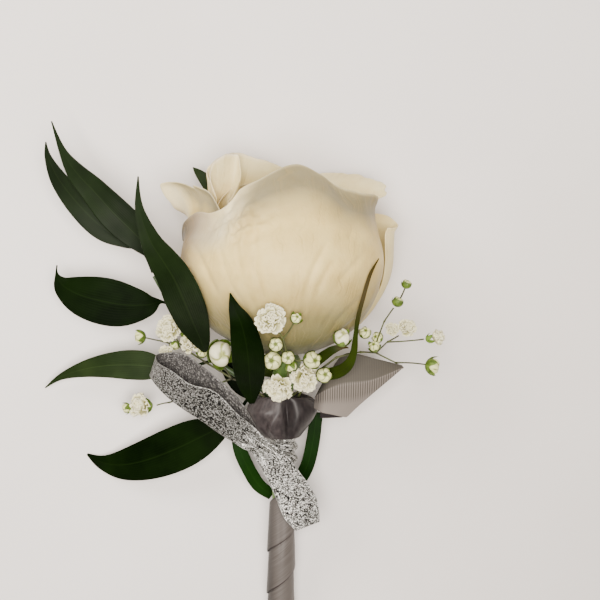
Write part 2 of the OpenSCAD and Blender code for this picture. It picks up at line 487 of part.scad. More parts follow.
// The free end of the grey ribbon, folded along its length
// Columns: lower edge x, y, z, fold x, y, z, upper edge x, y, z
tail_rows = [
    [3.4, -27, 22.4, 3.8, -24, 23.6, 4.6, -22.4, 22.4],
    [5.4, -28.2, 22, 6.6, -22.6, 24.2, 7.6, -17.5, 21],
    [8.2, -28.8, 21.2, 11, -21.2, 24.2, 11.6, -13.2, 20.2],
    [10, -29.2, 20.4, 18, -20.2, 23.6, 18.6, -12, 20],
    [11.6, -29.4, 19.6, 26, -16.8, 22.8, 26, -11.4, 20]];
module grey_tail() color([0.66, 0.61, 0.58]) {
    top = [for (i = [0:8]) let (a = run(tail_rows, i / 8))
        [for (t = [0:fold_steps]) let (f = t / fold_steps * 2,
            lo = seen(a[0], a[1], a[2]), mid = seen(a[3], a[4], a[5]), hi = seen(a[6], a[7], a[8]),
            p = f < 1 ? mix(lo, mid, f) : mix(mid, hi, f - 1)) p]];
    wall = function (i, j) ribbon_wall;
    sheet(top, grid_moved(top, wall));
}

// The turned-under part of the grey ribbon between the gathered turn and its free end
// Columns: lower edge x, y, z, upper edge x, y, z
fold_rows = [
    [4.9, -29.6, 17.6, 5.1, -27.2, 18.8], [6.6, -29.6, 18, 6.8, -27.8, 19],
    [8.6, -29.5, 18.2, 8.8, -28.4, 18.8], [10.6, -29.4, 18.2, 10.6, -28.9, 18.4]];
module collar_fold() color([0.42, 0.38, 0.38]) {
    top = [for (i = [0:6]) let (a = run(fold_rows, i / 6), p = seen(a[0], a[1], a[2]), q = seen(a[3], a[4], a[5]))
        [for (t = [0:3]) mix(p, q, t / 3)]];
    wall = function (i, j) ribbon_wall;
    sheet(top, grid_moved(top, wall));
}

// The silver ribbon, from its tail over the knot, out round the loop and back
// Columns: left edge x, y, z, right edge x, y, z
bow_rows = [
    [-1, -57.8, 17.2, 5, -55.5, 15.6], [-4, -54.5, 18.2, 4.6, -50.8, 17.6],
    [-6.2, -49.2, 19.4, 2.8, -47, 19.6], [-8.8, -43.8, 21.2, 0, -43.2, 21.4],
    [-11, -40, 22.6, -3.6, -38.4, 23.4], [-12.4, -37.8, 22.4, -7.6, -35.2, 23.6],
    [-15, -36.6, 22.2, -10.8, -32.4, 25], [-19.5, -33.8, 22.6, -15.6, -28.4, 27],
    [-25.9, -29.6, 23, -21.4, -23, 28.6], [-32, -25.5, 24, -27.2, -21.2, 29],
    [-36, -21.5, 24.4, -32.2, -17.8, 28.8], [-37.6, -19.2, 23.6, -35.2, -16, 27],
    [-37.6, -19, 21.6, -36.2, -14.4, 24.6], [-36, -20, 20.2, -35, -13.2, 22.8],
    [-32, -23.8, 20, -29.2, -13.4, 22.4], [-26.2, -28.8, 20, -23.4, -17.2, 22.6],
    [-19.6, -33.8, 19.6, -15.6, -24.2, 21.8], [-14.6, -36.6, 19, -11, -31.4, 21]];
module silver_bow() color([0.75, 0.77, 0.78]) {
    top = [for (i = [0:34]) let (a = run(bow_rows, i / 34), p = seen(a[0], a[1], a[2]), q = seen(a[3], a[4], a[5]))
        [for (t = [0:3]) mix(q, p, t / 3)]];
    wall = function (i, j) ribbon_wall;
    sheet(top, grid_moved(top, wall));
}

// The silver ribbon's turn round the stem
module silver_band() color([0.75, 0.77, 0.78]) on_stem() difference() {
    translate([0, 0, 22.6]) cylinder(r = band_r, h = 6.4, $fn = 64);
    translate([0, 0, 22]) cylinder(r = band_r - ribbon_wall, h = 8, $fn = 64);
}

// The pin, behind the wound ribbon with its point toward the stem's end
module lapel_pin() color([0.7, 0.7, 0.72]) on_stem() translate([0, -5.5, 0]) {
    translate([0, 0, 45]) cylinder(r = pin_r, h = pin_length, $fn = 24);
    translate([0, 0, 44.6]) sphere(r = pin_head_r, $fn = 24);
}

translate(shift) rose_core();
translate(shift) petal_inner_1();
translate(shift) petal_inner_2();
translate(shift) petal_inner_3();
translate(shift) petal_inner_4();
translate(shift) petal_back_left();
translate(shift) petal_back_right();
translate(shift) petal_left();
translate(shift) petal_right();
translate(shift) petal_under();
translate(shift) petal_front();
translate(shift) rose_stem();
translate(shift) sepal_right();
translate(shift) sepal_front();
translate(shift) sepal_left();
translate(shift) leaf_top_front();
translate(shift) leaf_top_back();
translate(shift) leaf_bloom();
translate(shift) leaf_left_high();
translate(shift) leaf_left_low();
translate(shift) leaf_bottom();
translate(shift) leaf_centre();
translate(shift) leaf_behind();
translate(shift) leaf_neck();
translate(shift) leaf_stem();
translate(shift) blade_left();
translate(shift) blade_right();
translate(shift) sprig_left();
translate(shift) sprig_centre();
translate(shift) sprig_right();
translate(shift) blossom_1();
translate(shift) blossom_2();
translate(shift) blossom_3();
translate(shift) blossom_4();
translate(shift) blossom_5();
translate(shift) blossom_6();
translate(shift) blossom_7();
translate(shift) blossom_8();
translate(shift) blossom_9();
translate(shift) blossom_10();
translate(shift) blossom_11();
translate(shift) blossom_12();
translate(shift) stem_wrap();
translate(shift) collar();
translate(shift) collar_fold();
translate(shift) grey_tail();
translate(shift) silver_bow();
translate(shift) silver_band();
translate(shift) lapel_pin();
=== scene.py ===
import functools
from math import acos, atan2, cos, degrees, exp, floor, hypot, pi, radians, sin, sqrt

import bpy
from mathutils import Matrix, Vector, noise


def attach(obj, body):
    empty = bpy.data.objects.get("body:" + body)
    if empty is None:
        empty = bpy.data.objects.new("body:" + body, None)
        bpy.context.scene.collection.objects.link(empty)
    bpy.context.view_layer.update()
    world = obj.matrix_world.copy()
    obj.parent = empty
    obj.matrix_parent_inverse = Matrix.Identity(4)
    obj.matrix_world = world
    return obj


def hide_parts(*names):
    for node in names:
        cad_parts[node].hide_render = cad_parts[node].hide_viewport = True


# A white rose buttonhole on a pale table: petals, leaves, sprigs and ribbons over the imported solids.
# Lengths in the tables are millimetres, in the frame that the solids are drawn in.
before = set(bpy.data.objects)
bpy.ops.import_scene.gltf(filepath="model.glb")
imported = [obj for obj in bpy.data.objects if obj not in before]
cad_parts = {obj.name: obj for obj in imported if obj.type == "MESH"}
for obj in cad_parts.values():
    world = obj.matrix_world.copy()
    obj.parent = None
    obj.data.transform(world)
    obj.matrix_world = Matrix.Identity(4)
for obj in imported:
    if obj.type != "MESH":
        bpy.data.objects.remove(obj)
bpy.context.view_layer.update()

# The eye's height, the height at which plan points are true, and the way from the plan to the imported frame
EYE_HEIGHT = 400.0
TRUE_HEIGHT = 20.0
SHIFT = Vector((15.59, 24.28, -0.44))
# The bloom's middle and depth, the rise of its stem and the stem's turn to the side
BLOOM_MID = Vector((-4.0, 9.4, 24.4))
BLOOM_DEPTH = 23.0
SLOPE = radians(11.8)
STEM_TURN = radians(0.9)
AXIS_UP = Vector((0, cos(SLOPE), sin(SLOPE)))
STEM_TOP = BLOOM_MID - AXIS_UP * (BLOOM_DEPTH - 0.6)
STEM_LENGTH = 82.0
CORE_R = 11.8
CORE_TURNS = 3


# Sums on points and rows
def mix(a, b, t):
    """The value at share t between a and b."""
    return a + (b - a) * t


def ease(t):
    """A slow start and a slow end between 0 and 1."""
    c = min(max(t, 0.0), 1.0)
    return c * c * (3 - 2 * c)


def hump(t, middle, half):
    """1 at the middle, down to nothing at half on either side."""
    return ease(1 - abs(t - middle) / half)


def run(rows, t):
    """A smooth run through the rows of a table, t from 0 to 1."""
    n = len(rows) - 1
    s = min(max(t, 0.0), 1.0) * n
    i = min(int(s), n - 1)
    f = s - i
    near = rows[max(i - 1, 0)], rows[i], rows[i + 1], rows[min(i + 2, n)]
    return [0.5 * (2 * b + (c - a) * f + (2 * a - 5 * b + 4 * c - d) * f * f
                   + (3 * b - a - 3 * c + d) * f ** 3) for a, b, c, d in zip(*near)]


def turn_slope(p):
    """A point of the bloom's own frame, leaned with the rose."""
    c, s = cos(SLOPE), sin(SLOPE)
    return Vector((p[0], p[1] * c - p[2] * s, p[1] * s + p[2] * c))


def level_slope(p):
    """A point of the table's frame, in the bloom's own."""
    c, s = cos(SLOPE), sin(SLOPE)
    return Vector((p[0], p[1] * c + p[2] * s, -p[1] * s + p[2] * c))


def seen(x, y, z):
    """A plan point taken at the true height, drawn in or out to where it lies at height z."""
    k = (EYE_HEIGHT - z) / (EYE_HEIGHT - TRUE_HEIGHT)
    return Vector((x * k, y * k, z))


def stem_point(x, y, s):
    """A point by its place across the stem and its distance down it from the bloom's foot."""
    a = x * cos(STEM_TURN) - s * sin(STEM_TURN)
    b = x * sin(STEM_TURN) + s * cos(STEM_TURN)
    return STEM_TOP + turn_slope((a, -b, y))


def swung(r, s, rise=0.0):
    """A point at radius r and bearing s round the bloom, raised along it."""
    return r * cos(s), rise, r * sin(s)


def rough(p, size, seed=0.0):
    """Smooth noise between about -1 and 1 that changes over size millimetres."""
    return noise.noise(Vector(p) / size + Vector((seed * 7.3, seed * 3.1, seed * 5.7)))


# Meshes
def deselect():
    """Nothing stays selected, so that an operator acts on its own piece alone."""
    if bpy.context.mode != "OBJECT":
        bpy.ops.object.mode_set(mode="OBJECT")
    bpy.ops.object.select_all(action="DESELECT")


def choose(piece):
    """The piece is the one selected object."""
    deselect()
    piece.select_set(True)
    bpy.context.view_layer.objects.active = piece


def apply_modifier(piece, kind, **settings):
    """A modifier is added with its settings and applied at once."""
    choose(piece)
    added = piece.modifiers.new(kind.lower(), kind)
    for key, value in settings.items():
        setattr(added, key, value)
    bpy.ops.object.modifier_apply(modifier=added.name)


def edit_all(piece, operator, **settings):
    """One edit-mode operator over all of the piece."""
    choose(piece)
    bpy.ops.object.mode_set(mode="EDIT")
    bpy.ops.mesh.select_all(action="SELECT")
    operator(**settings)
    bpy.ops.object.mode_set(mode="OBJECT")


def laid_grid(name, across, along, place, relief=None, closed=False):
    """A primitive grid whose points are laid where place(u, v) says, then raised by relief(u, v, point).
    A closed one is sewn where its sides meet."""
    deselect()
    bpy.ops.mesh.primitive_grid_add(x_subdivisions=across, y_subdivisions=along, size=1, calc_uvs=True)
    piece = bpy.context.object
    piece.name = name
    shares = [(0.5 - p.co.x, p.co.y + 0.5) for p in piece.data.vertices]
    for point, (u, v) in zip(piece.data.vertices, shares):
        point.co = place(u, v)
    piece.data.update()
    if relief:
        normals = [n.vector.copy() for n in piece.data.vertex_normals]
        for point, normal, (u, v) in zip(piece.data.vertices, normals, shares):
            point.co = point.co + normal * relief(u, v, point.co.copy())
    if closed:
        edit_all(piece, bpy.ops.mesh.remove_doubles, threshold=0.002)
    return piece


def marked(piece, name, worth):
    """A number from 0 to 1 kept at each point of the mesh, for its material to read."""
    layer = piece.data.attributes.new(name, "FLOAT", "POINT")
    for point, kept in zip(piece.data.vertices, layer.data):
        kept.value = worth(point.co)
    return piece


def walled(piece, wall, back_slot=0):
    """The laid grid gets its thickness on its inner side, and its rims are rounded. Empty slots keep the
    two faces apart until the piece is dressed, where its back has a material of its own."""
    for _ in range(back_slot * 2):
        piece.data.materials.append(None)
    apply_modifier(piece, "SOLIDIFY", thickness=wall, offset=-1, material_offset=back_slot)
    apply_modifier(piece, "SUBSURF", levels=1, render_levels=1)
    return piece


def settled(piece):
    """From the table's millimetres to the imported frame's metres."""
    piece.data.transform(Matrix.Scale(0.001, 4) @ Matrix.Translation(SHIFT))
    piece.data.update()
    return piece


def joined(pieces, name):
    """Several meshes made one piece."""
    deselect()
    for piece in pieces:
        piece.select_set(True)
    bpy.context.view_layer.objects.active = pieces[0]
    if len(pieces) > 1:
        bpy.ops.object.join()
    pieces[0].name = name
    return pieces[0]


def dressed(piece, nodes, slot, *materials):
    """The finished piece gets its material, rides on the part and stands for its solids."""
    settled(piece)
    slots = [face.material_index for face in piece.data.polygons]
    piece.data.materials.clear()
    for material in materials:
        piece.data.materials.append(material)
    piece.data.polygons.foreach_set("material_index", [min(i, len(materials) - 1) for i in slots])
    piece.data.shade_smooth()
    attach(piece, "root")
    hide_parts(*nodes)
    return piece


# Materials
def linear(code):
    """An sRGB hex colour as linear values."""
    parts = [int(code[i:i + 2], 16) / 255 for i in (0, 2, 4)]
    return [p / 12.92 if p <= 0.04045 else ((p + 0.055) / 1.055) ** 2.4 for p in parts] + [1.0]


def fill(node, sockets):
    """A socket gets a value, a hex colour, an output, or a node, which stands for its first output in use."""
    for socket, value in sockets.items():
        if isinstance(value, bpy.types.Node):
            value = next(output for output in value.outputs if output.enabled)
        if isinstance(value, bpy.types.NodeSocket):
            node.id_data.links.new(value, node.inputs[socket])
        else:
            node.inputs[socket].default_value = linear(value) if isinstance(value, str) else value


def add_node(tree, kind, sockets, stops=(), **settings):
    """A node with its settings and filled sockets. A ramp's stops are a place and a hex colour or a grey."""
    made = tree.nodes.new("ShaderNode" + kind)
    for key, value in settings.items():
        setattr(made, key, value)
    if stops:
        points = made.color_ramp.elements
        while len(points) < len(stops):
            points.new(0.5)
        for point, (place, colour) in zip(points, stops):
            point.position = place
            point.color = linear(colour) if isinstance(colour, str) else [colour, colour, colour, 1]
    fill(made, sockets)
    return made


# Settings of a colour mix, whose sockets are picked by number because their names repeat
BLEND = {"data_type": "RGBA", "blend_type": "MIX"}
TIMES = {"data_type": "RGBA", "blend_type": "MULTIPLY"}


def new_material(name, **settings):
    """A Principled material with what adds to its tree, its shader and its coordinates."""
    made = bpy.data.materials.new(name)
    made.use_nodes = True
    add = functools.partial(add_node, made.node_tree)
    shader = made.node_tree.nodes["Principled BSDF"]
    fill(shader, {key.replace("_", " "): value for key, value in settings.items()})
    return made, add, shader, add("TexCoord", {}).outputs


def petal_cream(name, foot, low, body, band, rim, side, pale, veins):
    """Fresh rose petal: soft matt skin that lets light through, fine broken veins fanned from the foot,
    a green-yellow tinge at the foot deepened by painted shade, a band of painted shade below the rim,
    painted shade at the sides, a paler rim and a painted highlight on the patch where the front petal
    crumples. It gives the eye a waxy, warm white."""
    made, add, shader, where = new_material(
        name, Roughness=0.55, Subsurface_Weight=0.3, Subsurface_Scale=0.0014,
        Subsurface_Radius=(1.0, 0.95, 0.8), Sheen_Weight=0.08, Sheen_Roughness=0.4, Specular_IOR_Level=0.25)
    parts = add("SeparateXYZ", {0: where["UV"]}).outputs
    # Cloudy tint, about 6 mm across
    cloud = add("TexNoise", {"Vector": where["Object"], "Scale": 160.0, "Detail": 4.0})
    # Along the petal: the foot's green-yellow tint and the low part are deepened by painted shade, and the
    # band below the rim is painted shade
    along = add("ValToRGB", {0: parts["Y"]}, [
        (0.16, foot), (0.34, low), (0.54, body), (0.72, body), (0.87, band), (0.98, band), (1.0, rim)])
    # Painted highlight: the crumpled patch at the upper left stays pale up to the rim
    left = add("ValToRGB", {0: parts["X"]}, [(0.06, 0.0), (0.18, 1.0), (0.36, 1.0), (0.5, 0.0)])
    upper = add("ValToRGB", {0: parts["Y"]}, [(0.62, 0.0), (0.76, 1.0)])
    patch = add("Math", {0: left, 1: upper}, operation="MULTIPLY")
    patch_highlighted = add("Mix", {0: patch, 6: along, 7: pale}, **BLEND)
    # Painted shade toward both sides of the petal, deepest where UV x is 0
    sides = add("ValToRGB", {0: parts["X"]}, [
        (0.14, side), (0.32, "FFFFFF"), (0.8, "FFFFFF"), (1.0, "EDE8DC")])
    side_shaded = add("Mix", {0: 1.0, 6: patch_highlighted, 7: sides}, **TIMES)
    tint = add("ValToRGB", {0: cloud}, [(0.35, 0.0), (0.75, 0.45)])
    tinted = add("Mix", {0: tint, 6: side_shaded, 7: rim}, **TIMES)
    # Veins about 1.2 mm apart where the petal is widest, that waver and fade in and out
    bent = add("TexNoise", {"Vector": where["Object"], "Scale": 140.0, "Detail": 3.0})
    lines = add("Math", {0: bent, 1: 0.09, 2: parts["X"]}, operation="MULTIPLY_ADD")
    fine = add("CombineXYZ", {0: lines})
    wave = add("TexNoise", {"Vector": fine, "Scale": veins, "Detail": 2.0})
    narrow = add("ValToRGB", {0: wave}, [(0.4, 1.0), (0.47, 0.2), (0.56, 0.0)])
    broken = add("ValToRGB", {0: cloud}, [(0.38, 0.0), (0.62, 1.0)])
    faded = add("Math", {0: narrow, 1: broken}, operation="MULTIPLY")
    faint = add("Math", {0: faded, 1: 0.22}, operation="MULTIPLY")
    shade = add("Mix", {0: faint, 6: tinted, 7: "B39A62"}, **BLEND)
    skin = add("TexNoise", {"Vector": where["Object"], "Scale": 700.0, "Detail": 4.0})
    height = add("Math", {0: faded, 1: -0.7, 2: skin}, operation="MULTIPLY_ADD")
    bump = add("Bump", {"Height": height, "Strength": 0.4, "Distance": 0.0003})
    fill(shader, {"Base Color": shade, "Normal": bump})
    return made


def leaf_green(name, dark, light, rib, lines, gloss, shine, tip=0.0):
    """Ruscus leaf: thick waxy skin with close parallel veins. It gives the eye a near black green
    that turns a little paler in soft broad highlights, and browns toward its point by the share tip."""
    made, add, shader, where = new_material(name, Roughness=gloss, Specular_IOR_Level=shine)
    parts = add("SeparateXYZ", {0: where["UV"]}).outputs
    cloud = add("TexNoise", {"Vector": where["Object"], "Scale": 120.0, "Detail": 3.0})
    waver = add("Math", {0: cloud, 1: 0.03, 2: parts["X"]}, operation="MULTIPLY_ADD")
    across = add("CombineXYZ", {0: waver})
    # Veins about 0.7 mm apart on the widest leaf
    veins = add("TexWave", {"Vector": across, "Scale": lines, "Distortion": 0.8, "Detail": 2.0})
    wave = veins.outputs["Fac"]
    cloudy = add("ValToRGB", {0: cloud}, [(0.35, 0.0), (0.68, 1.0)])
    base = add("Mix", {0: cloudy, 6: dark, 7: light}, **BLEND)
    faint = add("Math", {0: wave, 1: 0.08}, operation="MULTIPLY")
    veined = add("Mix", {0: faint, 6: base, 7: rib}, **BLEND)
    midrib = add("ValToRGB", {0: parts["X"]}, [(0.48, 0.0), (0.5, 0.4), (0.52, 0.0)])
    ribbed = add("Mix", {0: midrib, 6: veined, 7: rib}, **BLEND)
    point = add("ValToRGB", {0: parts["Y"]}, [(0.55, 0.0), (0.75, tip)])
    tipped = add("Mix", {0: point, 6: ribbed, 7: "3B2E10"}, **BLEND)
    bump = add("Bump", {"Height": wave, "Strength": 0.1, "Distance": 0.00015})
    fill(shader, {"Base Color": tipped, "Normal": bump})
    return made


def satin_grey(name, dark, light, shades):
    """Woven polyester satin ribbon, warm grey: long floats that gleam along the stem, with painted shade
    toward one side from the ramp shades.
    """
    made, add, shader, where = new_material(
        name, Roughness=0.48, Anisotropic=0.5, Specular_IOR_Level=0.3)
    parts = add("SeparateXYZ", {0: where["UV"]}).outputs
    fine = add("Mapping", {"Vector": where["UV"], "Scale": (60.0, 9.0, 1.0)})
    streak = add("TexNoise", {"Vector": fine, "Scale": 1.0, "Detail": 3.0})
    base = add("ValToRGB", {0: streak}, [(0.3, dark), (0.7, light)])
    hem = add("ValToRGB", {0: parts["X"]}, [(0.015, 0.85), (0.035, 0.0), (0.965, 0.0), (0.985, 0.85)])
    hemmed = add("Mix", {0: hem, 6: base, 7: "2C2424"}, **BLEND)
    # Painted shade, darker toward one side in the frame's x: the ramp covers the first 20 mm of it
    place = add("SeparateXYZ", {0: where["Object"]}).outputs
    aside = add("Math", {0: place["X"], 1: 50.0}, operation="MULTIPLY")
    turned = add("ValToRGB", {0: aside}, shades)
    shaded = add("Mix", {0: 1.0, 6: hemmed, 7: turned}, **TIMES)
    # Threads about 0.25 mm apart, drawn coarser than the real 0.1 mm so that they show
    bump = add("Bump", {"Height": streak, "Strength": 0.12, "Distance": 0.0002})
    fill(shader, {"Base Color": shaded, "Normal": bump})
    return made


def grosgrain_grey():
    """Grosgrain ribbon, warm grey: round ribs across its middle every 0.58 mm, which shade it into fine
    stripes, between a smooth paler selvedge and a smooth greyer back."""
    made, add, shader, where = new_material(
        "polyester_grosgrain_warm_grey", Roughness=0.6, Specular_IOR_Level=0.2)
    parts = add("SeparateXYZ", {0: where["UV"]}).outputs
    place = add("SeparateXYZ", {0: where["Object"]}).outputs
    turns = add("Math", {0: place["X"], 1: 2 * pi / 0.00058}, operation="MULTIPLY")
    waves = add("Math", {0: turns}, operation="SINE")
    ribs = add("Math", {0: waves, 1: 0.5, 2: 0.5}, operation="MULTIPLY_ADD")
    ribbed = add("ValToRGB", {0: parts["X"]}, [(0.46, 0.08), (0.5, 1.0), (0.7, 1.0), (0.82, 0.0)])
    smooth = add("ValToRGB", {0: parts["X"]}, [
        (0.0, "4A4741"), (0.46, "55514A"), (0.5, "6E6861"), (1.0, "7E766F")])
    striped = add("ValToRGB", {0: ribs}, [(0.0, "46413C"), (1.0, "7E766E")])
    cloth = add("Mix", {0: ribbed, 6: smooth, 7: striped}, **BLEND)
    # Painted shade where it comes out of the gathers
    root = add("ValToRGB", {0: parts["Y"]}, [(0.0, 0.35), (0.12, 0.4), (0.28, 1.0)])
    root_shaded = add("Mix", {0: 1.0, 6: cloth, 7: root}, **TIMES)
    height = add("Math", {0: ribs, 1: ribbed}, operation="MULTIPLY")
    bump = add("Bump", {"Height": height, "Strength": 0.4, "Distance": 0.0001})
    fill(shader, {"Base Color": root_shaded, "Normal": bump})
    return made


def glitter_silver(name, length, shades, metal, rough_low, loop_shade=1.0):
    """Silver ribbon: flat metal threads woven into cloth, each face tilted its own way, so that the
    ribbon sparkles in white grains with near black gaps, between two paler selvedges. The grains are
    drawn 0.34 mm across, coarser than the real ones, so that they show."""
    made, add, shader, where = new_material(name, Metallic=metal)
    parts = add("SeparateXYZ", {0: where["UV"]}).outputs
    size = 0.34
    spread = add("Mapping", {"Vector": where["UV"], "Scale": (SILVER_WIDTH / size, length / size, 1.0)})
    grain = add("TexVoronoi", {"Vector": spread, "Scale": 1.0, "Randomness": 0.8}).outputs
    tone = add("SeparateXYZ", {0: grain["Color"]}).outputs
    # Each grain falls off to a dark gap, and each one has a tone of its own
    gap = add("Math", {0: grain["Distance"], 1: -0.9, 2: 0.85}, operation="MULTIPLY_ADD")
    shine = add("Math", {0: tone["X"], 1: 0.4, 2: gap}, operation="MULTIPLY_ADD")
    base = add("ValToRGB", {0: shine}, shades)
    hem = add("ValToRGB", {0: parts["X"]}, [(0.018, 0.3), (0.026, 0.0), (0.974, 0.0), (0.982, 0.3)])
    selvedge = add("Mix", {0: hem, 6: base, 7: shades[-1][1]}, **BLEND)
    # Painted shade darkens the loop past the knot, which is seen at a slant
    loop_shaded = add("ValToRGB", {0: parts["Y"]}, [(0.3, 1.0), (0.4, loop_shade)])
    shaded = add("Mix", {0: 1.0, 6: selvedge, 7: loop_shaded}, **TIMES)
    roughness = add("ValToRGB", {0: tone["Y"]}, [(0.0, rough_low), (1.0, 0.65)])
    tilt = add("Math", {0: tone["Z"], 1: grain["Distance"]}, operation="MULTIPLY")
    bump = add("Bump", {"Height": tilt, "Strength": 0.7, "Distance": 0.0003})
    fill(shader, {"Base Color": shaded, "Roughness": roughness, "Normal": bump})
    return made


def stalk_green(name, dark, light, rough_value):
    """Thin green stalk: a satin skin with brown and green flecks along it."""
    made, add, shader, where = new_material(name, Roughness=rough_value)
    cloud = add("TexNoise", {"Vector": where["Object"], "Scale": 350.0, "Detail": 4.0})
    skin = add("ValToRGB", {0: cloud}, [(0.35, dark), (0.65, light)])
    bump = add("Bump", {"Height": cloud, "Strength": 0.3, "Distance": 0.0002})
    fill(shader, {"Base Color": skin, "Normal": bump})
    return made


def blossom_white():
    """Baby's breath petal: thin white tissue, greenish and darker toward its foot, its own tint deepened by
    painted shade, matt and crinkled. Its calyx is green.
    """
    made, add, shader, where = new_material(
        "baby_breath_petal_white", Roughness=0.6, Subsurface_Weight=0.05, Subsurface_Scale=0.0004,
        Subsurface_Radius=(1.0, 0.9, 0.7), Specular_IOR_Level=0.3)
    parts = add("SeparateXYZ", {0: where["UV"]}).outputs
    # Toward the foot the green tint is partly painted shade
    along = add("ValToRGB", {0: parts["Y"]}, [
        (0.0, "4C5A24"), (0.3, "8E8E54"), (0.62, "BEBA8E"), (1.0, "E0DCBC")])
    green = add("Attribute", {}, attribute_name="green").outputs["Fac"]
    shade = add("Mix", {0: green, 6: along, 7: "6D8A34"}, **BLEND)
    crinkle = add("TexNoise", {"Vector": where["Object"], "Scale": 1500.0, "Detail": 3.0})
    bump = add("Bump", {"Height": crinkle, "Strength": 0.3, "Distance": 0.0002})
    fill(shader, {"Base Color": shade, "Normal": bump})
    return made


def bud_cream(name, outer, crease):
    """Closed baby's breath bud: furled cream petals with green-yellow creases, in a green calyx."""
    made, add, shader, where = new_material(
        name, Roughness=0.5, Subsurface_Weight=0.15, Subsurface_Scale=0.0004,
        Subsurface_Radius=(1.0, 0.95, 0.6), Specular_IOR_Level=0.3)
    furl = add("Attribute", {}, attribute_name="furl").outputs["Fac"]
    green = add("Attribute", {}, attribute_name="green").outputs["Fac"]
    fleck = add("TexNoise", {"Vector": where["Object"], "Scale": 900.0, "Detail": 3.0})
    petals = add("ValToRGB", {0: furl}, [(0.35, outer), (0.8, crease)])
    skin = add("ValToRGB", {0: fleck}, [(0.35, "3E5218"), (0.65, "667E2E")])
    shade = add("Mix", {0: green, 6: petals, 7: skin}, **BLEND)
    bump = add("Bump", {"Height": fleck, "Strength": 0.25, "Distance": 0.0002})
    fill(shader, {"Base Color": shade, "Normal": bump})
    return made


def polished_steel():
    """Nickel-plated steel wire: a bright smooth metal with fine drawing lines along the shaft."""
    made, add, shader, where = new_material("nickel_plated_steel_wire", Metallic=1.0, Roughness=0.22)
    fine = add("Mapping", {"Vector": where["Object"], "Scale": (4000.0, 60.0, 4000.0)})
    drawn = add("TexNoise", {"Vector": fine, "Scale": 1.0, "Detail": 2.0})
    fill(shader, {"Base Color": add("ValToRGB", {0: drawn}, [(0.3, "B9BABC"), (0.7, "D6D7D9")])})
    return made


def table_top():
    """White laminate table top: smooth, matt, with faint cloudy wear and painted shade toward the lower
    right.
    """
    made, add, shader, where = new_material(
        "laminate_matt_white", Roughness=0.55, Specular_IOR_Level=0.3)
    cloud = add("TexNoise", {"Vector": where["Object"], "Scale": 9.0, "Detail": 5.0})
    worn = add("ValToRGB", {0: cloud}, [(0.3, "F6F4F2"), (0.7, "FFFFFF")])
    # Painted shade, darker toward the lower right over about 0.3 m
    place = add("SeparateXYZ", {0: where["Object"]}).outputs
    aslant = add("Math", {0: place["X"], 1: place["Y"]}, operation="SUBTRACT")
    share = add("Math", {0: aslant, 1: 3.3, 2: 0.5}, operation="MULTIPLY_ADD")
    painted_falloff = add("ValToRGB", {0: share}, [(0.0, "F6F3F0"), (0.5, "E8E4E1"), (1.0, "CFCBC7")])
    fill(shader, {"Base Color": add("Mix", {0: 1.0, 6: painted_falloff, 7: worn}, **TIMES)})
    return made


# Camera, light and table
# Columns: name, place and width in metres, power in watts
LAMPS = [["lamp_overhead", (0.02, -0.03, 0.68), 0.34, 11.0], ["window", (-0.6, 0.5, 0.62), 0.5, 7.5]]
LAMP_COLOUR = (1.0, 0.93, 0.86)
# Half the width, in millimetres, that the eye sees at the true height
HALF_SEEN = 75.0
SENSOR_WIDTH = 36.0


def set_stage():
    """A table, a soft lamp above it, a soft window at the upper left, and an eye straight above the piece."""
    deselect()
    bpy.ops.mesh.primitive_plane_add(size=3.0, location=(0, 0, 0))
    table = bpy.context.object
    table.name = "table_top"
    table.data.materials.append(table_top())
    eye = bpy.data.cameras.new("eye")
    eye.sensor_width = SENSOR_WIDTH
    eye.lens = SENSOR_WIDTH / 2 * (EYE_HEIGHT - TRUE_HEIGHT) / HALF_SEEN
    eye.clip_start = 0.01
    seat = bpy.data.objects.new("eye", eye)
    bpy.context.scene.collection.objects.link(seat)
    seat.location = (Vector((0, 0, EYE_HEIGHT)) + SHIFT) * 0.001
    bpy.context.scene.camera = seat
    for name, place, size, power in LAMPS:
        lamp = bpy.data.lights.new(name, "AREA")
        lamp.size = size
        lamp.energy = power
        lamp.color = LAMP_COLOUR
        stand = bpy.data.objects.new(name, lamp)
        bpy.context.scene.collection.objects.link(stand)
        stand.location = place
        stand.rotation_euler = (-Vector(place)).to_track_quat("-Z", "Y").to_euler()
    world = bpy.data.worlds.new("room")
    world.use_nodes = True
    fill(world.node_tree.nodes["Background"], {"Color": (1.0, 0.95, 0.9, 1), "Strength": 0.3})
    bpy.context.scene.world = world


set_stage()

# Petals
# Columns: side, the bearing round the bloom in degrees where the petal is widest; body, the
# radius there; rim_x, rim_y, rim_z, the rim from the bloom's middle; curl, the rim's lean outward
FRONT_ROWS = [
    [-3, 24.3, 22.8, 15.0, 1.0, 10], [14, 24.9, 22.4, 16.3, 4.5, 15], [36, 24.9, 18.2, 16.4, 10, -20],
    [55, 24.9, 12.1, 17.8, 13, -45], [72, 24.9, 8.0, 20.4, 13, -66], [88, 24.9, 2.3, 22.7, 12, -72],
    [106, 24.9, -5.0, 19.1, 15, -60], [122, 24.9, -9.3, 17.1, 16, -42], [136, 25.0, -13.1, 13.1, 16, -15],
    [150, 25.2, -16.8, 11.6, 13, 10], [166, 25.4, -20.6, 11.9, 9, 15], [180, 25.4, -24.2, 9.7, 4, 10],
    [196, 25.0, -25.0, 5.5, -5, 0]]
LEFT_ROWS = [
    [124, 22.6, -8.8, 11.0, 17.0, -10], [138, 22.6, -14.2, 13.0, 12.0, 5],
    [152, 22.4, -18.2, 17.2, 5.5, 35], [163, 22.4, -22.4, 19.0, 3, 60], [172, 22.4, -27.2, 19.8, 1.5, 75],
    [181, 22.4, -30.6, 19.2, 0, 85], [191, 22.4, -27.6, 13.9, -3.5, 75], [203, 22.3, -23.4, 12.5, -7, 30],
    [216, 22.2, -19.4, 9.5, -11.5, 0]]
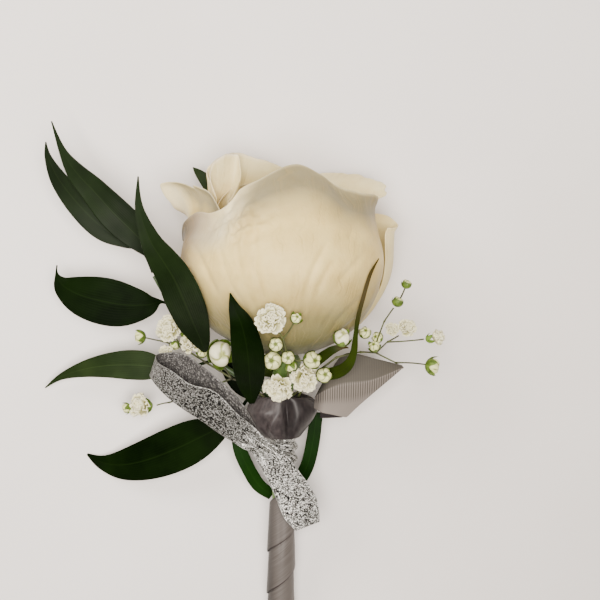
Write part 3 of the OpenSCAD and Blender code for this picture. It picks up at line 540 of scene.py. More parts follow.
BACK_LEFT_ROWS = [
    [168, 20.2, -17.0, 18.0, 3.0, 0], [184, 20.2, -18.9, 22.9, 1, 5], [200, 20.2, -15.4, 26.3, -1, 0],
    [218, 20.2, -11.7, 27.6, -4, -5], [238, 20.2, -6.2, 26.2, -7, -5], [256, 20.2, -0.4, 24.8, -9, -5],
    [272, 20.2, 5.3, 23.0, -11.5, -5], [288, 20.2, 9.0, 19.0, -14, -5]]
BACK_RIGHT_ROWS = [
    [250, 21.5, -2.0, 19.5, -17, 0], [268, 21.5, 3.5, 22.8, -19, 20], [285, 21.5, 8.4, 23.9, -20, 45],
    [303, 21.5, 16.6, 23.6, -16, 70], [324, 21.5, 25.2, 21.2, -9, 85], [340, 21.5, 25.8, 17.4, -4, 75],
    [354, 21.5, 21.0, 15.4, -2.6, 30], [368, 21.5, 18.8, 11.5, 4.0, 0]]
UNDER_ROWS = [
    [186, 23.7, -23.4, 3.6, -3, 0], [202, 23.8, -22.4, 6.5, -10, 5], [222, 24.0, -17.0, 13.5, -17.5, 15],
    [240, 24.2, -11.5, 15.5, -21.5, 12], [256, 24.2, -5.5, 16.0, -22.8, 10], [272, 23.6, 0.5, 15.0, -22.6, 5],
    [288, 23.2, 6.5, 13.0, -21.5, 0], [302, 22.9, 11.5, 10.0, -19, 0]]
RIGHT_ROWS = [
    [279, 24.4, 3.8, 8.0, -23.2, 0], [294, 25.4, 10.5, 11.0, -22.0, 5],
    [312, 27.2, 18.2, 13.0, -18.0, 10], [330, 28.8, 24.8, 12.5, -11.5, 15],
    [342, 28.9, 27.8, 9.8, -6.0, 5], [350, 27.4, 26.8, 8.8, -3.4, 0], [356, 25.4, 25.1, 8.6, -1.8, 0]]


def petal_point(row, middle, depth, v):
    """One column of a petal, from its foot over its widest part at the middle to its rim."""
    side, body, rim_x, rim_y, rim_z, curl = row
    if v < 0.5:
        a = radians(mix(15, 90, v * 2))
        s = radians(mix(middle, side, mix(0.8, 1, v * 2)))
        return Vector(swung(body * sin(a), s, -depth * cos(a)))
    t = v * 2 - 1
    s = radians(side)
    rim = level_slope((rim_x, rim_y, rim_z))
    foot = Vector(swung(body, s))
    out = Vector((rim.x, 0, rim.z)).normalized()
    rise = rim.y
    lean = radians(curl)
    b = foot + Vector((0, rise * 0.45, 0))
    c = rim - (out * sin(lean) + Vector((0, cos(lean), 0))) * rise * 0.4
    return foot * (1 - t) ** 3 + b * 3 * t * (1 - t) ** 2 + c * 3 * t * t * (1 - t) + rim * t ** 3


def laid_petal(name, rows, depth, across, along, relief, wall, ragged):
    """A petal between its table's sides, its rim nicked here and there by the share ragged."""
    middle = (rows[0][0] + rows[-1][0]) / 2

    def place(u, v):
        coarse = max(0.0, rough((u * 13, depth, 0.5), 1.0, 3))
        fine = 0.5 * max(0.0, rough((u * 31, depth, 0.5), 1.0, 4))
        reach = v * (1 - ragged * (coarse + fine))
        return BLOOM_MID + turn_slope(petal_point(run(rows, u), middle, depth, reach))

    return walled(laid_grid(name, across, along, place, relief), wall)


def skin_relief(seed, lip=0.0, amount=1.0):
    """Soft waves over a petal, with a small lip turned out along its rim."""
    def relief(u, v, p):
        calm = ease(v / 0.3)
        wave = 0.16 * rough(p, 9, seed) + 0.07 * rough(p, 3.2, seed + 4)
        return amount * wave * calm + lip * ease((v - 0.86) / 0.14) ** 2
    return relief


def fan_creases(p):
    """Shallow creases that fan from the petal's foot, each one fading in and out along its way."""
    reach = hypot(p.x + 4.0, p.y + 18.0)
    bearing = degrees(atan2(p.x + 4.0, p.y + 18.0)) + 5 * rough((reach, 0.5, 0.5), 16, 7)
    spacing = 7.5
    number = floor(bearing / spacing)
    off = 0.25 + 0.5 * abs(rough((number * 2.7, 0.5, 0.5), 1.0, 9))
    aside = radians((bearing / spacing - number - off) * spacing) * reach
    strength = ease(0.5 + 1.6 * rough((number * 1.9, reach / 9, 0.5), 1.0, 12))
    depth = half_width = 0.55
    cut = depth * strength * exp(-(aside / half_width) ** 2)
    return cut * ease((reach - 8) / 10) * ease((42 - reach) / 8)


def front_relief(u, v, p):
    """The front petal: a crumpled patch at the upper left, creases fanned from the foot, and a rolled lip."""
    wave = 0.3 * rough(p, 12, 1) + 0.08 * rough(p, 3.5, 2)
    patch = exp(-((p.x + 12.8) / 5.4) ** 2 - ((p.y - 17.8) / 4.6) ** 2)
    turned = Vector((p.x * 0.8 + p.y * 0.6, p.y * 0.8 - p.x * 0.6, p.z * 0.5))
    bent = turned + Vector((0, 1.2 * rough(p, 4, 15), 0))
    coarse = 2.4 * rough((bent.x * 0.6, bent.y * 1.5, bent.z), 2.3, 3)
    crumple = coarse + 1.6 * rough((bent.x, bent.y * 1.5, bent.z), 1.35, 5)
    lip_size = mix(0.4, 0.8, hump(u, 0.45, 0.3))
    lip = lip_size * ease((v - 0.93) / 0.07) ** 2
    return (wave + patch * crumple - fan_creases(p)) * ease(v / 0.3) + lip


# foot, low and band hold painted shade as well as the petal's tint. The outer copy, used by the front and
# left petals, is the shaded one: a darker foot, low part and band, painted shade at its sides and a painted
# highlight on its crumpled patch
CREAM = petal_cream(
    "rose_petal_cream_waxy", "A0905A", "D4C286", "E8D8A6", "E6D6A4", "EEDFBA", "FFFFFF", "E8D8A6", 26.0)
CREAM_OUTER_SHADED = petal_cream(
    "rose_petal_outer_painted_shade", "5C5C3A", "8A8054", "E8CD86", "908768", "CDC29A", "A8A4B2", "ECDCAE", 60.0)

# The petal behind on the left is two: the nearer one's side runs down from its peak as a fold
NEAR_LEFT_ROWS = [
    [160, 19.6, -16.2, 15.6, 5, 0], [172, 19.6, -17.8, 20.2, 3.4, 5], [184, 19.6, -17.6, 24.0, 2.2, 5],
    [196, 19.6, -14.8, 26.4, 1.0, 0], [205, 19.6, -11.8, 27.2, -0.6, 0], [211, 19.5, -10.9, 24.4, 0.4, 0],
    [217, 19.4, -10.8, 21.0, 1.6, 0], [223, 19.2, -12.0, 17.6, 2.6, 0], [229, 19.0, -13.8, 14.6, 3.6, 0]]
# Columns: the solid, its table, depth, points across and along, relief, wall, raggedness, skin
PETALS = [
    ["petal_front", FRONT_ROWS, BLOOM_DEPTH, 124, 74, front_relief, 0.28, 0.012, CREAM_OUTER_SHADED],
    ["petal_left", LEFT_ROWS, BLOOM_DEPTH - 1.8, 56, 40, skin_relief(11, 0.4), 0.28, 0.08, CREAM_OUTER_SHADED],
    ["petal_back_left", BACK_LEFT_ROWS, BLOOM_DEPTH - 3.6, 56, 40, skin_relief(12, 0.3), 0.28, 0.02, CREAM],
    ["petal_back_left", NEAR_LEFT_ROWS, BLOOM_DEPTH - 4.2, 44, 40, skin_relief(19, 0.2), 0.28, 0.015, CREAM],
    ["petal_back_right", BACK_RIGHT_ROWS, BLOOM_DEPTH - 2.7, 60, 40, skin_relief(13, 0.5), 0.28, 0.08, CREAM],
    ["petal_under", UNDER_ROWS, BLOOM_DEPTH - 0.9, 52, 36, skin_relief(14, 0.2), 0.28, 0.0, CREAM],
    ["petal_right", RIGHT_ROWS, BLOOM_DEPTH + 1.2, 44, 36, skin_relief(15, 0.9), 0.28, 0.02, CREAM]]


def inner_rows(bearing, spread, r, height, close):
    """The table of a closed inner petal, a row for each bearing from one side to the other."""
    rows = []
    for k in range(-3, 4):
        s = bearing + spread * k / 3
        top = r * (height - 0.28 * (k / 3) ** 2)
        w = r * (close + (0.9 - close) * (k / 3) ** 2)
        rows.append([s, r, *turn_slope(swung(w, radians(s), top)), -50])
    return rows


# Columns: the solid that it belongs to, bearing, half spread, radius, then height and closing as shares of it
INNER_PETALS = [
    [1, 30, 78, 13.3, 0.95, 0.62], [2, 168, 78, 14.75, 0.95, 0.62], [3, 305, 78, 16.2, 0.95, 0.62],
    [4, 82, 78, 17.65, 0.95, 0.62], [2, 228, 60, 18.9, 0.95, 0.74], [3, 20, 75, 19.3, 0.8, 0.7],
    [4, 110, 50, 20.3, 0.84, 0.62]]
for node, bearing, spread, r, height, close in INNER_PETALS:
    rows = inner_rows(bearing, spread, r, height, close)
    PETALS.append([f"petal_inner_{node}", rows, r - 0.3, 34, 26, skin_relief(r, 0.25, 0.7), 0.35, 0.0, CREAM])
for petal_name in dict.fromkeys(row[0] for row in PETALS):
    kept = [row for row in PETALS if row[0] == petal_name]
    made = [laid_petal("petal", *row[1:-1]) for row in kept]
    dressed(joined(made, petal_name + "_skin"), [petal_name], "rose_petal", kept[0][-1])


def core_place(u, v):
    """The tight bud: one long petal that winds three times inward round its own top."""
    a = radians(90 * mix(-0.9, 0.72, v))
    s = radians(360 * CORE_TURNS * u)
    r = CORE_R * mix(0.98, 0.06, u) * cos(a) * mix(1, 0.9, ease(v))
    rise = CORE_R * (0.94 - 0.12 * u) * sin(a)
    return BLOOM_MID + turn_slope(swung(r, s, rise))


core = walled(laid_grid("rose_core_skin", 140, 20, core_place, skin_relief(31, 0.15, 0.4)), 0.35)
dressed(core, ["rose_core"], "rose_petal", CREAM)

# Leaves
# Columns: x and y in plan, z the height, half the width and, on some, the right-hand edge's lift per width
LEAVES = {
    "leaf_top_front": [
        [-62.2, 44.8, 21, 0.1, 0], [-59.5, 37.5, 22.5, 0.9, 0], [-56.2, 32.2, 23.5, 2.3, 0],
        [-51.8, 27.5, 24, 3.3, 0.1], [-46.8, 22, 24, 4.1, 0.1], [-42.5, 17.8, 23, 4, 0.1],
        [-38, 13, 21.5, 2.4, 0], [-36, 9.4, 20.3, 0.4, 0], [-36.3, 6.5, 19.9, 0.35, 0]],
    "leaf_top_back": [
        [-63.6, 39.6, 17, 0.1], [-63, 35.7, 17.5, 0.9], [-60.2, 30, 18.5, 2.2], [-55, 23.5, 19, 3.1],
        [-49.2, 18, 18.5, 3.2], [-43.5, 14.8, 17.8, 1.9], [-39.5, 12.4, 17.2, 0.4],
        [-36.8, 6.8, 17.6, 0.35]],
    "leaf_bloom": [
        [-40.5, 31, 36, 0.1, 0], [-40.3, 23.2, 37, 1, 0.1], [-37.5, 15, 37.5, 2.5, 0.3],
        [-34.4, 10, 37, 3.6, 0.5], [-31.6, 5.5, 36.8, 4.4, 0.75], [-29.1, 0, 36, 4.8, 0.95],
        [-26.8, -5.5, 33, 4.2, 0.85], [-24.5, -10.8, 27.5, 2.1, 0.4], [-23.8, -13.2, 24, 0.4, 0]],
    "leaf_left_high": [
        [-60.8, 8.8, 11, 0.1], [-60.8, 6.3, 12, 0.5], [-59.2, 3.6, 13, 2.8], [-55, 1.3, 13.5, 5],
        [-49.5, -0.2, 13.8, 6], [-43.8, -1.2, 14, 5.5], [-38, -1.2, 14.4, 3.1], [-35, -0.4, 15.2, 0.5],
        [-32.4, -1.3, 16.4, 0.35]],
    "leaf_left_low": [
        [-63.8, -22, 4, 0.1], [-60, -19.3, 5.5, 0.8], [-54.5, -17.4, 7.5, 2], [-48.5, -16.4, 9.2, 3.1],
        [-42.3, -16.2, 10.3, 3.8], [-37, -16.6, 11, 3.3], [-32.8, -17.4, 11.5, 0.6],
        [-27.6, -16.8, 12.7, 0.4], [-22.2, -15.2, 13.9, 0.35]],
    "leaf_bottom": [
        [-53.3, -38.5, 1.0, 0.2], [-49.5, -40.6, 2.4, 1.9], [-44.5, -41.2, 4.8, 3.9],
        [-38.5, -40, 7.2, 5.2], [-32, -37.6, 9.2, 5.8], [-26, -34.8, 10.8, 5.3], [-20.5, -32, 12, 3.2],
        [-16.6, -29.4, 12.8, 0.5], [-14.3, -26.4, 13.7, 0.4], [-11.6, -22.6, 14.7, 0.35]],
    "leaf_centre": [
        [-17.5, 1.8, 47.2, 0.1, 0], [-16.4, -2, 47.6, 1.4, 0.1], [-14.5, -6.5, 46.5, 2.9, 0.2],
        [-13.2, -12.5, 42.5, 3.8, 0.2], [-12.7, -18, 36.5, 3.8, 0.15], [-12.4, -22, 31, 2.8, 0.1],
        [-12, -26, 26.5, 0.6, 0]],
    "leaf_behind": [
        [-26.8, 33.2, 9, 0.1], [-25.6, 32, 9.5, 0.9], [-23.2, 29.6, 9.5, 1.8], [-20.5, 26.2, 9, 2.2],
        [-18, 22, 7.5, 1.2], [-17, 20, 6.5, 0.4]],
    "leaf_neck": [
        [-11.2, -25.8, 12, 0.35], [-12.8, -23.9, 11.6, 1.1], [-15, -21.3, 11.2, 2.2],
        [-17.4, -17.4, 11.6, 2.2], [-19.2, -13.4, 12, 1.1], [-20, -11, 12.4, 0.1]]}
SEPALS = {
    "sepal_right": [
        [5.5, -18.6, 27.5, 1.8], [9, -18.2, 29.5, 2], [11.9, -16.4, 32, 1.7], [13.4, -13.2, 34.5, 1.1],
        [13.9, -9, 37, 0.8], [14.5, -4.5, 39, 0.7], [15.8, 0.5, 40.2, 0.65], [17.6, 6.5, 40, 0.55],
        [19.8, 10.5, 38.4, 0.12]],
    "sepal_front": [
        [2.4, -16.8, 29.8, 1.6], [5.2, -14.5, 32.4, 1.6], [8, -12.6, 34.5, 1.3], [10.6, -11.8, 34.8, 0.7],
        [12.2, -12, 34.2, 0.12]],
    "sepal_left": [
        [-6.8, -18.2, 24, 1.5], [-9.6, -17.6, 24.6, 1.7], [-13.2, -16.2, 24.6, 1.3],
        [-16.5, -14, 24, 0.8], [-19, -11.6, 23.2, 0.12]]}
BLADES = {
    "blade_left": [
        [-15.6, -34.4, 12.6, 1.6], [-14.8, -38, 12.2, 1.75], [-13, -42, 11.2, 1.75],
        [-10.4, -46.2, 9.4, 1.75], [-6.9, -48.8, 7.9, 1.4]],
    "blade_right": [
        [-5.2, -48.9, 7.7, 1.4], [-3, -48.2, 7.7, 1.7], [-0.6, -45.6, 8.2, 1.75], [1.8, -41.4, 9.4, 1.75],
        [3.2, -35.5, 10.6, 1.75], [4.2, -28, 11.6, 1.6]]}


def laid_leaf(name, rows, fold, wall, seed, width):
    """A leaf along its table, folded up along its midrib, with a faint wave in its edges."""
    def place(u, v):
        x, y, z, half, *lifts = run(rows, v)
        b, c = run(rows, min(v + 0.02, 1)), run(rows, max(v - 0.02, 0))
        p = seen(x, y, z)
        d = seen(*b[:3]) - seen(*c[:3])
        w = Vector((-d.y, d.x, 0)).normalized()
        h = max(half * width, 0.15)
        s = u * 2 - 1
        ridge = sqrt(s * s + 0.006) - 0.05
        p = p + w * h * s
        p.z += h * (s * sum(lifts) + (ridge + 0.25 * cos(s * pi)) * fold)
        return p

    def relief(u, v, p):
        edge = abs(u * 2 - 1) ** 2
        return 0.16 * edge * rough(p, 5.5, seed) * hump(v, 0.45, 0.45)

    return walled(laid_grid(name, 18, 44, place, relief), wall)


DARK_LEAF = leaf_green("ruscus_leaf_dark_waxy", "030A01", "091603", "18280B", 5.6, 0.42, 0.015)
# A paler copy of the dark leaf with a little more gloss, for the leaves at the top and over the bloom: its
# paler base is painted sheen
SHEEN_LEAF = leaf_green("ruscus_leaf_painted_sheen", "0A1405", "131F0B", "263418", 5.6, 0.42, 0.05)
UNDER_LEAF = leaf_green("ruscus_leaf_mid_green", "121E09", "1F2C12", "364624", 5.0, 0.45, 0.06)
SEPAL_GREEN = leaf_green("rose_sepal_green", "171F04", "253208", "323E12", 3.0, 0.5, 0.06, 0.7)
STRAP_GREEN = leaf_green("strap_leaf_green", "081A04", "102808", "244616", 3.2, 0.4, 0.02)
OTHER_LEAVES = {
    "leaf_top_front": SHEEN_LEAF, "leaf_top_back": SHEEN_LEAF, "leaf_bloom": SHEEN_LEAF,
    "leaf_left_low": UNDER_LEAF, "leaf_behind": UNDER_LEAF}

# Columns: table, ending of the names, slot, fold, wall, first seed, share of the width, material
for table, ending, slot, fold, wall, seed, width, green in (
        (LEAVES, "_blade", "leaf", 0.18, 0.35, 0, 1.0, DARK_LEAF),
        (SEPALS, "_blade", "sepal", -0.25, 0.5, 40, 0.8, SEPAL_GREEN),
        (BLADES, "_strap", "strap_leaf", 0.12, 0.4, 50, 1.0, STRAP_GREEN)):
    for number, (leaf_name, leaf_rows) in enumerate(table.items()):
        leaf = laid_leaf(leaf_name + ending, leaf_rows, fold, wall, seed + number, width)
        dressed(leaf, [leaf_name], slot, OTHER_LEAVES.get(leaf_name, green))


# Twigs and sprigs
def laid_tube(name, points, radii, sides):
    """A primitive cylinder laid along a run of points, closed at both ends."""
    deselect()
    steps = len(points) - 1
    bpy.ops.mesh.primitive_cylinder_add(vertices=sides, radius=1, depth=1, end_fill_type="TRIFAN")
    piece = bpy.context.object
    piece.name = name
    # The edges along it are chosen and cut, one ring of points for each step
    bpy.ops.object.mode_set(mode="EDIT")
    bpy.ops.mesh.select_mode(type="EDGE")
    bpy.ops.mesh.select_all(action="DESELECT")
    bpy.ops.object.mode_set(mode="OBJECT")
    for edge in piece.data.edges:
        a, b = (piece.data.vertices[i].co for i in edge.vertices)
        edge.select = abs(a.z - b.z) > 0.5
    bpy.ops.object.mode_set(mode="EDIT")
    bpy.ops.mesh.subdivide_edgering(number_cuts=steps - 1, interpolation="LINEAR", smoothness=0)
    bpy.ops.mesh.select_mode(type="VERT")
    bpy.ops.object.mode_set(mode="OBJECT")
    for point in piece.data.vertices:
        i = min(round((point.co.z + 0.5) * steps), steps)
        d = (points[min(i + 1, steps)] - points[max(i - 1, 0)]).normalized()
        u = d.cross(Vector((0, 0, 1)) if abs(d.z) < 0.9 else Vector((1, 0, 0))).normalized()
        w = u.cross(d)
        point.co = points[i] + (u * point.co.x + w * point.co.y) * radii[i]
    edit_all(piece, bpy.ops.mesh.normals_make_consistent, inside=False)
    return piece


# Columns: x, y, z, radius
LEAF_STEM_ROWS = [
    [-7.3, -31, 14.2, 0.6], [-7.4, -27, 15.2, 0.65], [-8.1, -23.6, 16, 0.7], [-11, -21.4, 15.8, 0.75],
    [-15.5, -19, 15, 0.75], [-21.5, -14.5, 15, 0.75], [-27, -8, 16.2, 0.7], [-32, -1.5, 17.4, 0.6],
    [-36.5, 6, 18.6, 0.5]]
TWIG_GREEN = stalk_green("ruscus_twig_green", "22361A", "3B5228", 0.45)
SPRIG_GREEN = stalk_green("baby_breath_stalk_olive", "2E2F18", "4A5226", 0.5)
twig_runs = [run(LEAF_STEM_ROWS, i / 40) for i in range(41)]
twig = laid_tube("leaf_stem_twig", [seen(*r[:3]) for r in twig_runs], [r[3] for r in twig_runs], 10)
dressed(twig, ["leaf_stem"], "twig", TWIG_GREEN)

# Each run of stalk has its radius and then x, y, z for each of its joints
RIGHT_STALKS = [
    [0.4, -0.9, -27, 19.4, -0.5, -24.3, 20.4, 4, -18, 27.2, 9, -14.4, 29.8],
    [0.35, 9, -14.4, 29.8, 15, -13, 28.6, 19, -13.2, 26.6],
    [0.3, 19, -13.2, 26.6, 24, -15.7, 26, 31.8, -16.2, 25],
    [0.3, 19, -13.2, 26.6, 21.8, -10.5, 26.4, 31, -9.8, 25.2], [0.3, 21.8, -10.5, 26.4, 24.7, -8.9, 25.8],
    [0.3, 18.2, -13.2, 27, 21, -5.5, 31.5, 23.4, -2, 31], [0.3, 24.6, -0.4, 30.6, 26.4, 3.4, 30]]
CENTRE_STALKS = [
    [0.4, -2.4, -27, 19.9, -2.4, -24.3, 20.8, -3, -19.5, 29.5, -3.2, -15.2, 34.2],
    [0.35, -3.2, -15.2, 34.2, -6.6, -15.2, 36.8],
    [0.35, -3.2, -15.2, 34.2, -3, -14.4, 37.4, -5.6, -11.4, 40.4],
    [0.35, -3, -14.4, 37.4, -4.2, -9.6, 44.2], [0.3, -4.2, -9.6, 44.2, -1.2, -5, 48],
    [0.3, -4.2, -9.6, 44.2, -5.6, -7.8, 45.6], [0.35, -3.2, -15.2, 34.2, 1.6, -15.1, 35.4],
    [0.35, -2.4, -24.3, 20.8, 5.4, -19.4, 30.8]]
LEFT_STALKS = [
    [0.4, -6.8, -26.5, 19.6, -11, -22.6, 18.4, -17, -19.6, 17.4, -23.6, -15.6, 16.6],
    [0.35, -23.6, -15.6, 16.6, -29, -12, 15.4, -34, -10.4, 14.8],
    [0.3, -34, -10.4, 14.8, -39.2, -9.3, 15.2],
    [0.35, -17, -19.6, 17.4, -26, -23.2, 15, -32.6, -25.6, 12], [0.3, -32.6, -25.6, 12, -35.8, -26.3, 11],
    [0.35, -17, -19.6, 17.4, -19.2, -16.4, 25.2], [0.3, -29, -12, 15.4, -31.2, -9.4, 17]]
# Columns: x, y, z, radius, kind. A bud of kind 0 shows its white top, one of kind 1 is small in a wide
# calyx, and one of kind 2 is nearly all green
RIGHT_BUDS = [
    [33.2, -16.5, 24.8, 1.9, 1], [18.6, -11.6, 28.4, 1.3, 1], [24.4, -0.4, 30.8, 1.3, 2],
    [26.6, 4, 30, 1.15, 2], [19.4, -9.4, 27.6, 1.3, 0], [16.2, -8.2, 29.4, 1.4, 0]]
CENTRE_BUDS = [
    [-6.8, -15.2, 38, 2.15, 0], [-3, -14.4, 39, 1.55, 0], [-6, -11.2, 41.6, 1.6, 0],
    [3, -15, 36, 2.05, 0], [6, -18.8, 32.6, 1.8, 0], [-1, -4.6, 48.6, 1.2, 1],
    [-2.2, -16.6, 36.6, 1.3, 1]]
LEFT_BUDS = [
    [-40, -9.2, 15.2, 1.5, 1], [-31.4, -11.4, 16.3, 1.2, 0], [-43.4, -27, 10.6, 1.2, 1],
    [-28.6, -8.2, 18.6, 1.3, 1], [-24.4, -13.2, 19.6, 1.2, 1]]


def calyx_cup(teeth, spread):
    """A green cup about a bud of radius 1 mm: closed below, with pointed teeth that stand off by spread."""
    def place(u, v):
        turn = 2 * pi * u
        tooth = abs(cos(teeth * turn / 2)) ** 1.6
        polar = radians(4 + v * (62 + 48 * tooth))
        r = 1.06 + 0.05 * v + spread * v * v * tooth
        wide = r * sin(polar)
        return Vector((wide * cos(turn), wide * sin(turn), -r * cos(polar)))

    cup = laid_grid("calyx_cup", teeth * 6, 6, place, closed=True)
    return marked(marked(cup, "green", lambda p: 1.0), "furl", lambda p: 0.0)


def furled_bud(arms, twist, depth, teeth, spread, green_to):
    """A closed bud of radius 1 mm about the origin, its top along +z: petals that lap over one another
    and wind to the top, each with a creased edge, in a green cup."""
    deselect()
    bpy.ops.mesh.primitive_uv_sphere_add(segments=36, ring_count=18, radius=1, calc_uvs=True)
    piece = bpy.context.object

    def lap(p):
        polar = acos(max(-1.0, min(1.0, p.z / max(p.length, 1e-6))))
        return (arms * atan2(p.y, p.x) / (2 * pi) + twist * polar / pi) % 1.0

    def crease(p):
        share = lap(p)
        top = 0.8 * ease((p.z - 0.86) / 0.12)
        return ease((p.z + 0.1) / 0.5) * max(hump(share, 0.0, 0.2), hump(share, 1.0, 0.2), top)

    marked(marked(piece, "furl", crease), "green", lambda p: ease((green_to - p.z) / 0.2))
    for point in piece.data.vertices:
        p = point.co.copy()
        share = lap(p)
        level = ease(share / 0.8) if share < 0.8 else ease((1 - share) / 0.2)
        grow = depth * (level - 0.5) * ease((p.z + 0.2) / 0.5)
        dent = 0.22 * ease((p.z - 0.8) / 0.2)
        point.co = Vector((p.x * (1 + grow), p.y * (1 + grow), p.z * (1 + 0.5 * grow) - dent))
    return joined([piece, calyx_cup(teeth, spread)], "bud_model")


def moved_copy(model, *moves):
    """A copy with its own mesh, moved by the last matrix first."""
    piece = model.copy()
    piece.data = model.data.copy()
    bpy.context.scene.collection.objects.link(piece)
    whole = Matrix.Identity(4)
    for move in moves:
        whole = whole @ move
    piece.data.transform(whole)
    return piece


def placed_copy(model, centre, axis, scale, spin):
    """A copy turned about its own axis, pointed along axis and put at centre."""
    aim = axis.normalized().to_track_quat("Z", "Y").to_matrix().to_4x4()
    return moved_copy(model, Matrix.Translation(centre), aim, Matrix.Rotation(spin, 4, "Z"),
                      Matrix.Diagonal((scale, scale, scale, 1)))


def laid_stalk(a, b, r):
    """A thin stalk from a to b with a faint bow and a small joint at its lower end."""
    side = (b - a).cross(Vector((0, 0, 1)))
    side = side.normalized() if side.length > 1e-6 else Vector((1, 0, 0))
    bow = 0.07 * (b - a).length * rough(a, 5, 8)
    points = [a.lerp(b, i / 8) + side * bow * sin(pi * i / 8) for i in range(9)]
    radii = [r * (1 + 0.5 * exp(-(i / 0.9) ** 2)) for i in range(9)]
    return laid_tube("stalk", points, radii, 8)


# A stalk is drawn thinner than its solid
STALK_SHARE = 0.62
BUD_CREAM = bud_cream("baby_breath_bud_cream", "D6D89A", "566420")
# Columns: petals, twist, depth of a lap, teeth of the cup, their spread, height that the green reaches.
# The last row is the large white bud among the blossoms
BUD_FORMS = [
    [5, 1.5, 0.2, 5, 0.12, -0.25], [5, 0.8, 0.22, 5, 0.4, -0.25], [5, 0.5, 0.2, 5, 0.2, 0.72],
    [3, 0.9, 0.24, 5, 0.3, -0.25]]
*BUD_MODELS, WHITE_BUD = [furled_bud(*form) for form in BUD_FORMS]
SPRIGS = [
    ["right", RIGHT_STALKS, RIGHT_BUDS], ["centre", CENTRE_STALKS, CENTRE_BUDS],
    ["left", LEFT_STALKS, LEFT_BUDS]]
for side, stalks, buds in SPRIGS:
    made = []
    ends = []
    for radius, *numbers in stalks:
        joints = [seen(*numbers[i:i + 3]) for i in range(0, len(numbers), 3)]
        made += [laid_stalk(a, b, radius * STALK_SHARE) for a, b in zip(joints, joints[1:])]
        ends += joints[1:]
    dressed(joined(made, f"sprig_{side}_stalks"), [f"sprig_{side}"], "sprig", SPRIG_GREEN)
    made = []
    for x, y, z, r, kind in buds:
        centre = seen(x, y, z)
        foot = min(ends, key=lambda e: (e - centre).length)
        upright = 0.3 if kind else 0.9
        sway = Vector((rough(centre, 3, 2) * 0.4, rough(centre, 3, 5) * 0.4, upright))
        axis = (centre - foot).normalized() + sway
        made.append(placed_copy(BUD_MODELS[kind], centre, axis, r * 0.97, x * 1.7))
    dressed(joined(made, f"sprig_{side}_buds"), [f"sprig_{side}"], "sprig", BUD_CREAM)


# Blossoms
# Columns: x, y, z, radius, the face's lean in x and y, form. Form 0 is open, 1 is seen from its side and
# 2 is a white bud
BLOSSOMS = [
    [-7.3, -4.8, 49.2, 3.1, 0.1, 0.1, 0], [1.2, -19.2, 32, 3.1, 0.3, -0.2, 0],
    [-5.4, -21.9, 30.8, 3.1, -0.2, -0.35, 0], [-32.8, -7.3, 18.9, 2.9, -0.3, 0.2, 0],
    [-33.4, -13.6, 18.2, 2, -0.4, 0.5, 0], [-39.8, -26.4, 10.5, 3.2, -0.5, 0.1, 1],
    [26.8, -7, 24.6, 2, 0.2, 0.2, 0], [33.8, -9.2, 24.6, 2.1, 1.4, 0.5, 1],
    [-20, -13.4, 28.6, 2.8, 0.3, -0.1, 2], [10.5, -9.4, 37.4, 1.9, 0.35, 0.9, 2],
    [-27.2, -11, 19.4, 2.3, 0, 0.3, 0], [23, -7.4, 24.4, 1.5, 0, 0.2, 0]]


def tissue_petal():
    """One small petal 1 mm long from the origin along +y: a narrow cupped spoon with a nicked, wavy end."""
    def place(u, v):
        s = u * 2 - 1
        half = 0.05 + 0.27 * sin(pi * min(v * 0.7, 1.0)) ** 0.9
        reach = v * (1 - 0.22 * s * s * v) - 0.13 * exp(-(s / 0.3) ** 2) * v ** 3
        rise = 0.32 * v * v + 0.5 * s * s * half + 0.12 * sin(s * 6 + 1) * v * v
        return Vector((s * half, reach, rise))

    piece = laid_grid("tissue_petal", 6, 4, place)
    apply_modifier(piece, "SOLIDIFY", thickness=0.05, offset=0)
    return marked(piece, "green", lambda p: 0.0)


def double_blossom(rings, seed, cup=False):
    """An open double blossom of radius 1 mm, its face along +z: rings of (petals, lean, length)."""
    made = []
    model = tissue_petal()
    for ring, (count, lean, length) in enumerate(rings):
        for k in range(count):
            wobble = [rough((ring * 3.1, k * 1.7, part * 5.3), 1.3, seed + ring) for part in range(4)]
            turn = 2 * pi * (k + 0.5 * (ring % 2)) / count + 0.7 * wobble[0]
            rise = Matrix.Rotation(radians(lean + 34 * wobble[1]), 4, "X")
            size = length * (1 + 0.3 * wobble[2])
            roll = Matrix.Rotation(1.3 * wobble[3], 4, "Y")
            made.append(moved_copy(model, Matrix.Rotation(turn, 4, "Z"), Matrix.Translation((0, 0.04, -0.3)),
                                   rise, roll, Matrix.Diagonal((size * 1.05, size, size, 1))))
    bpy.data.objects.remove(model)
    if cup:
        calyx = calyx_cup(5, 0.5)
        calyx.data.transform(Matrix.Translation((0, 0, -0.62)) @ Matrix.Diagonal((0.42, 0.42, 0.55, 1)))
        made.append(calyx)
    return joined(made, "blossom_model")


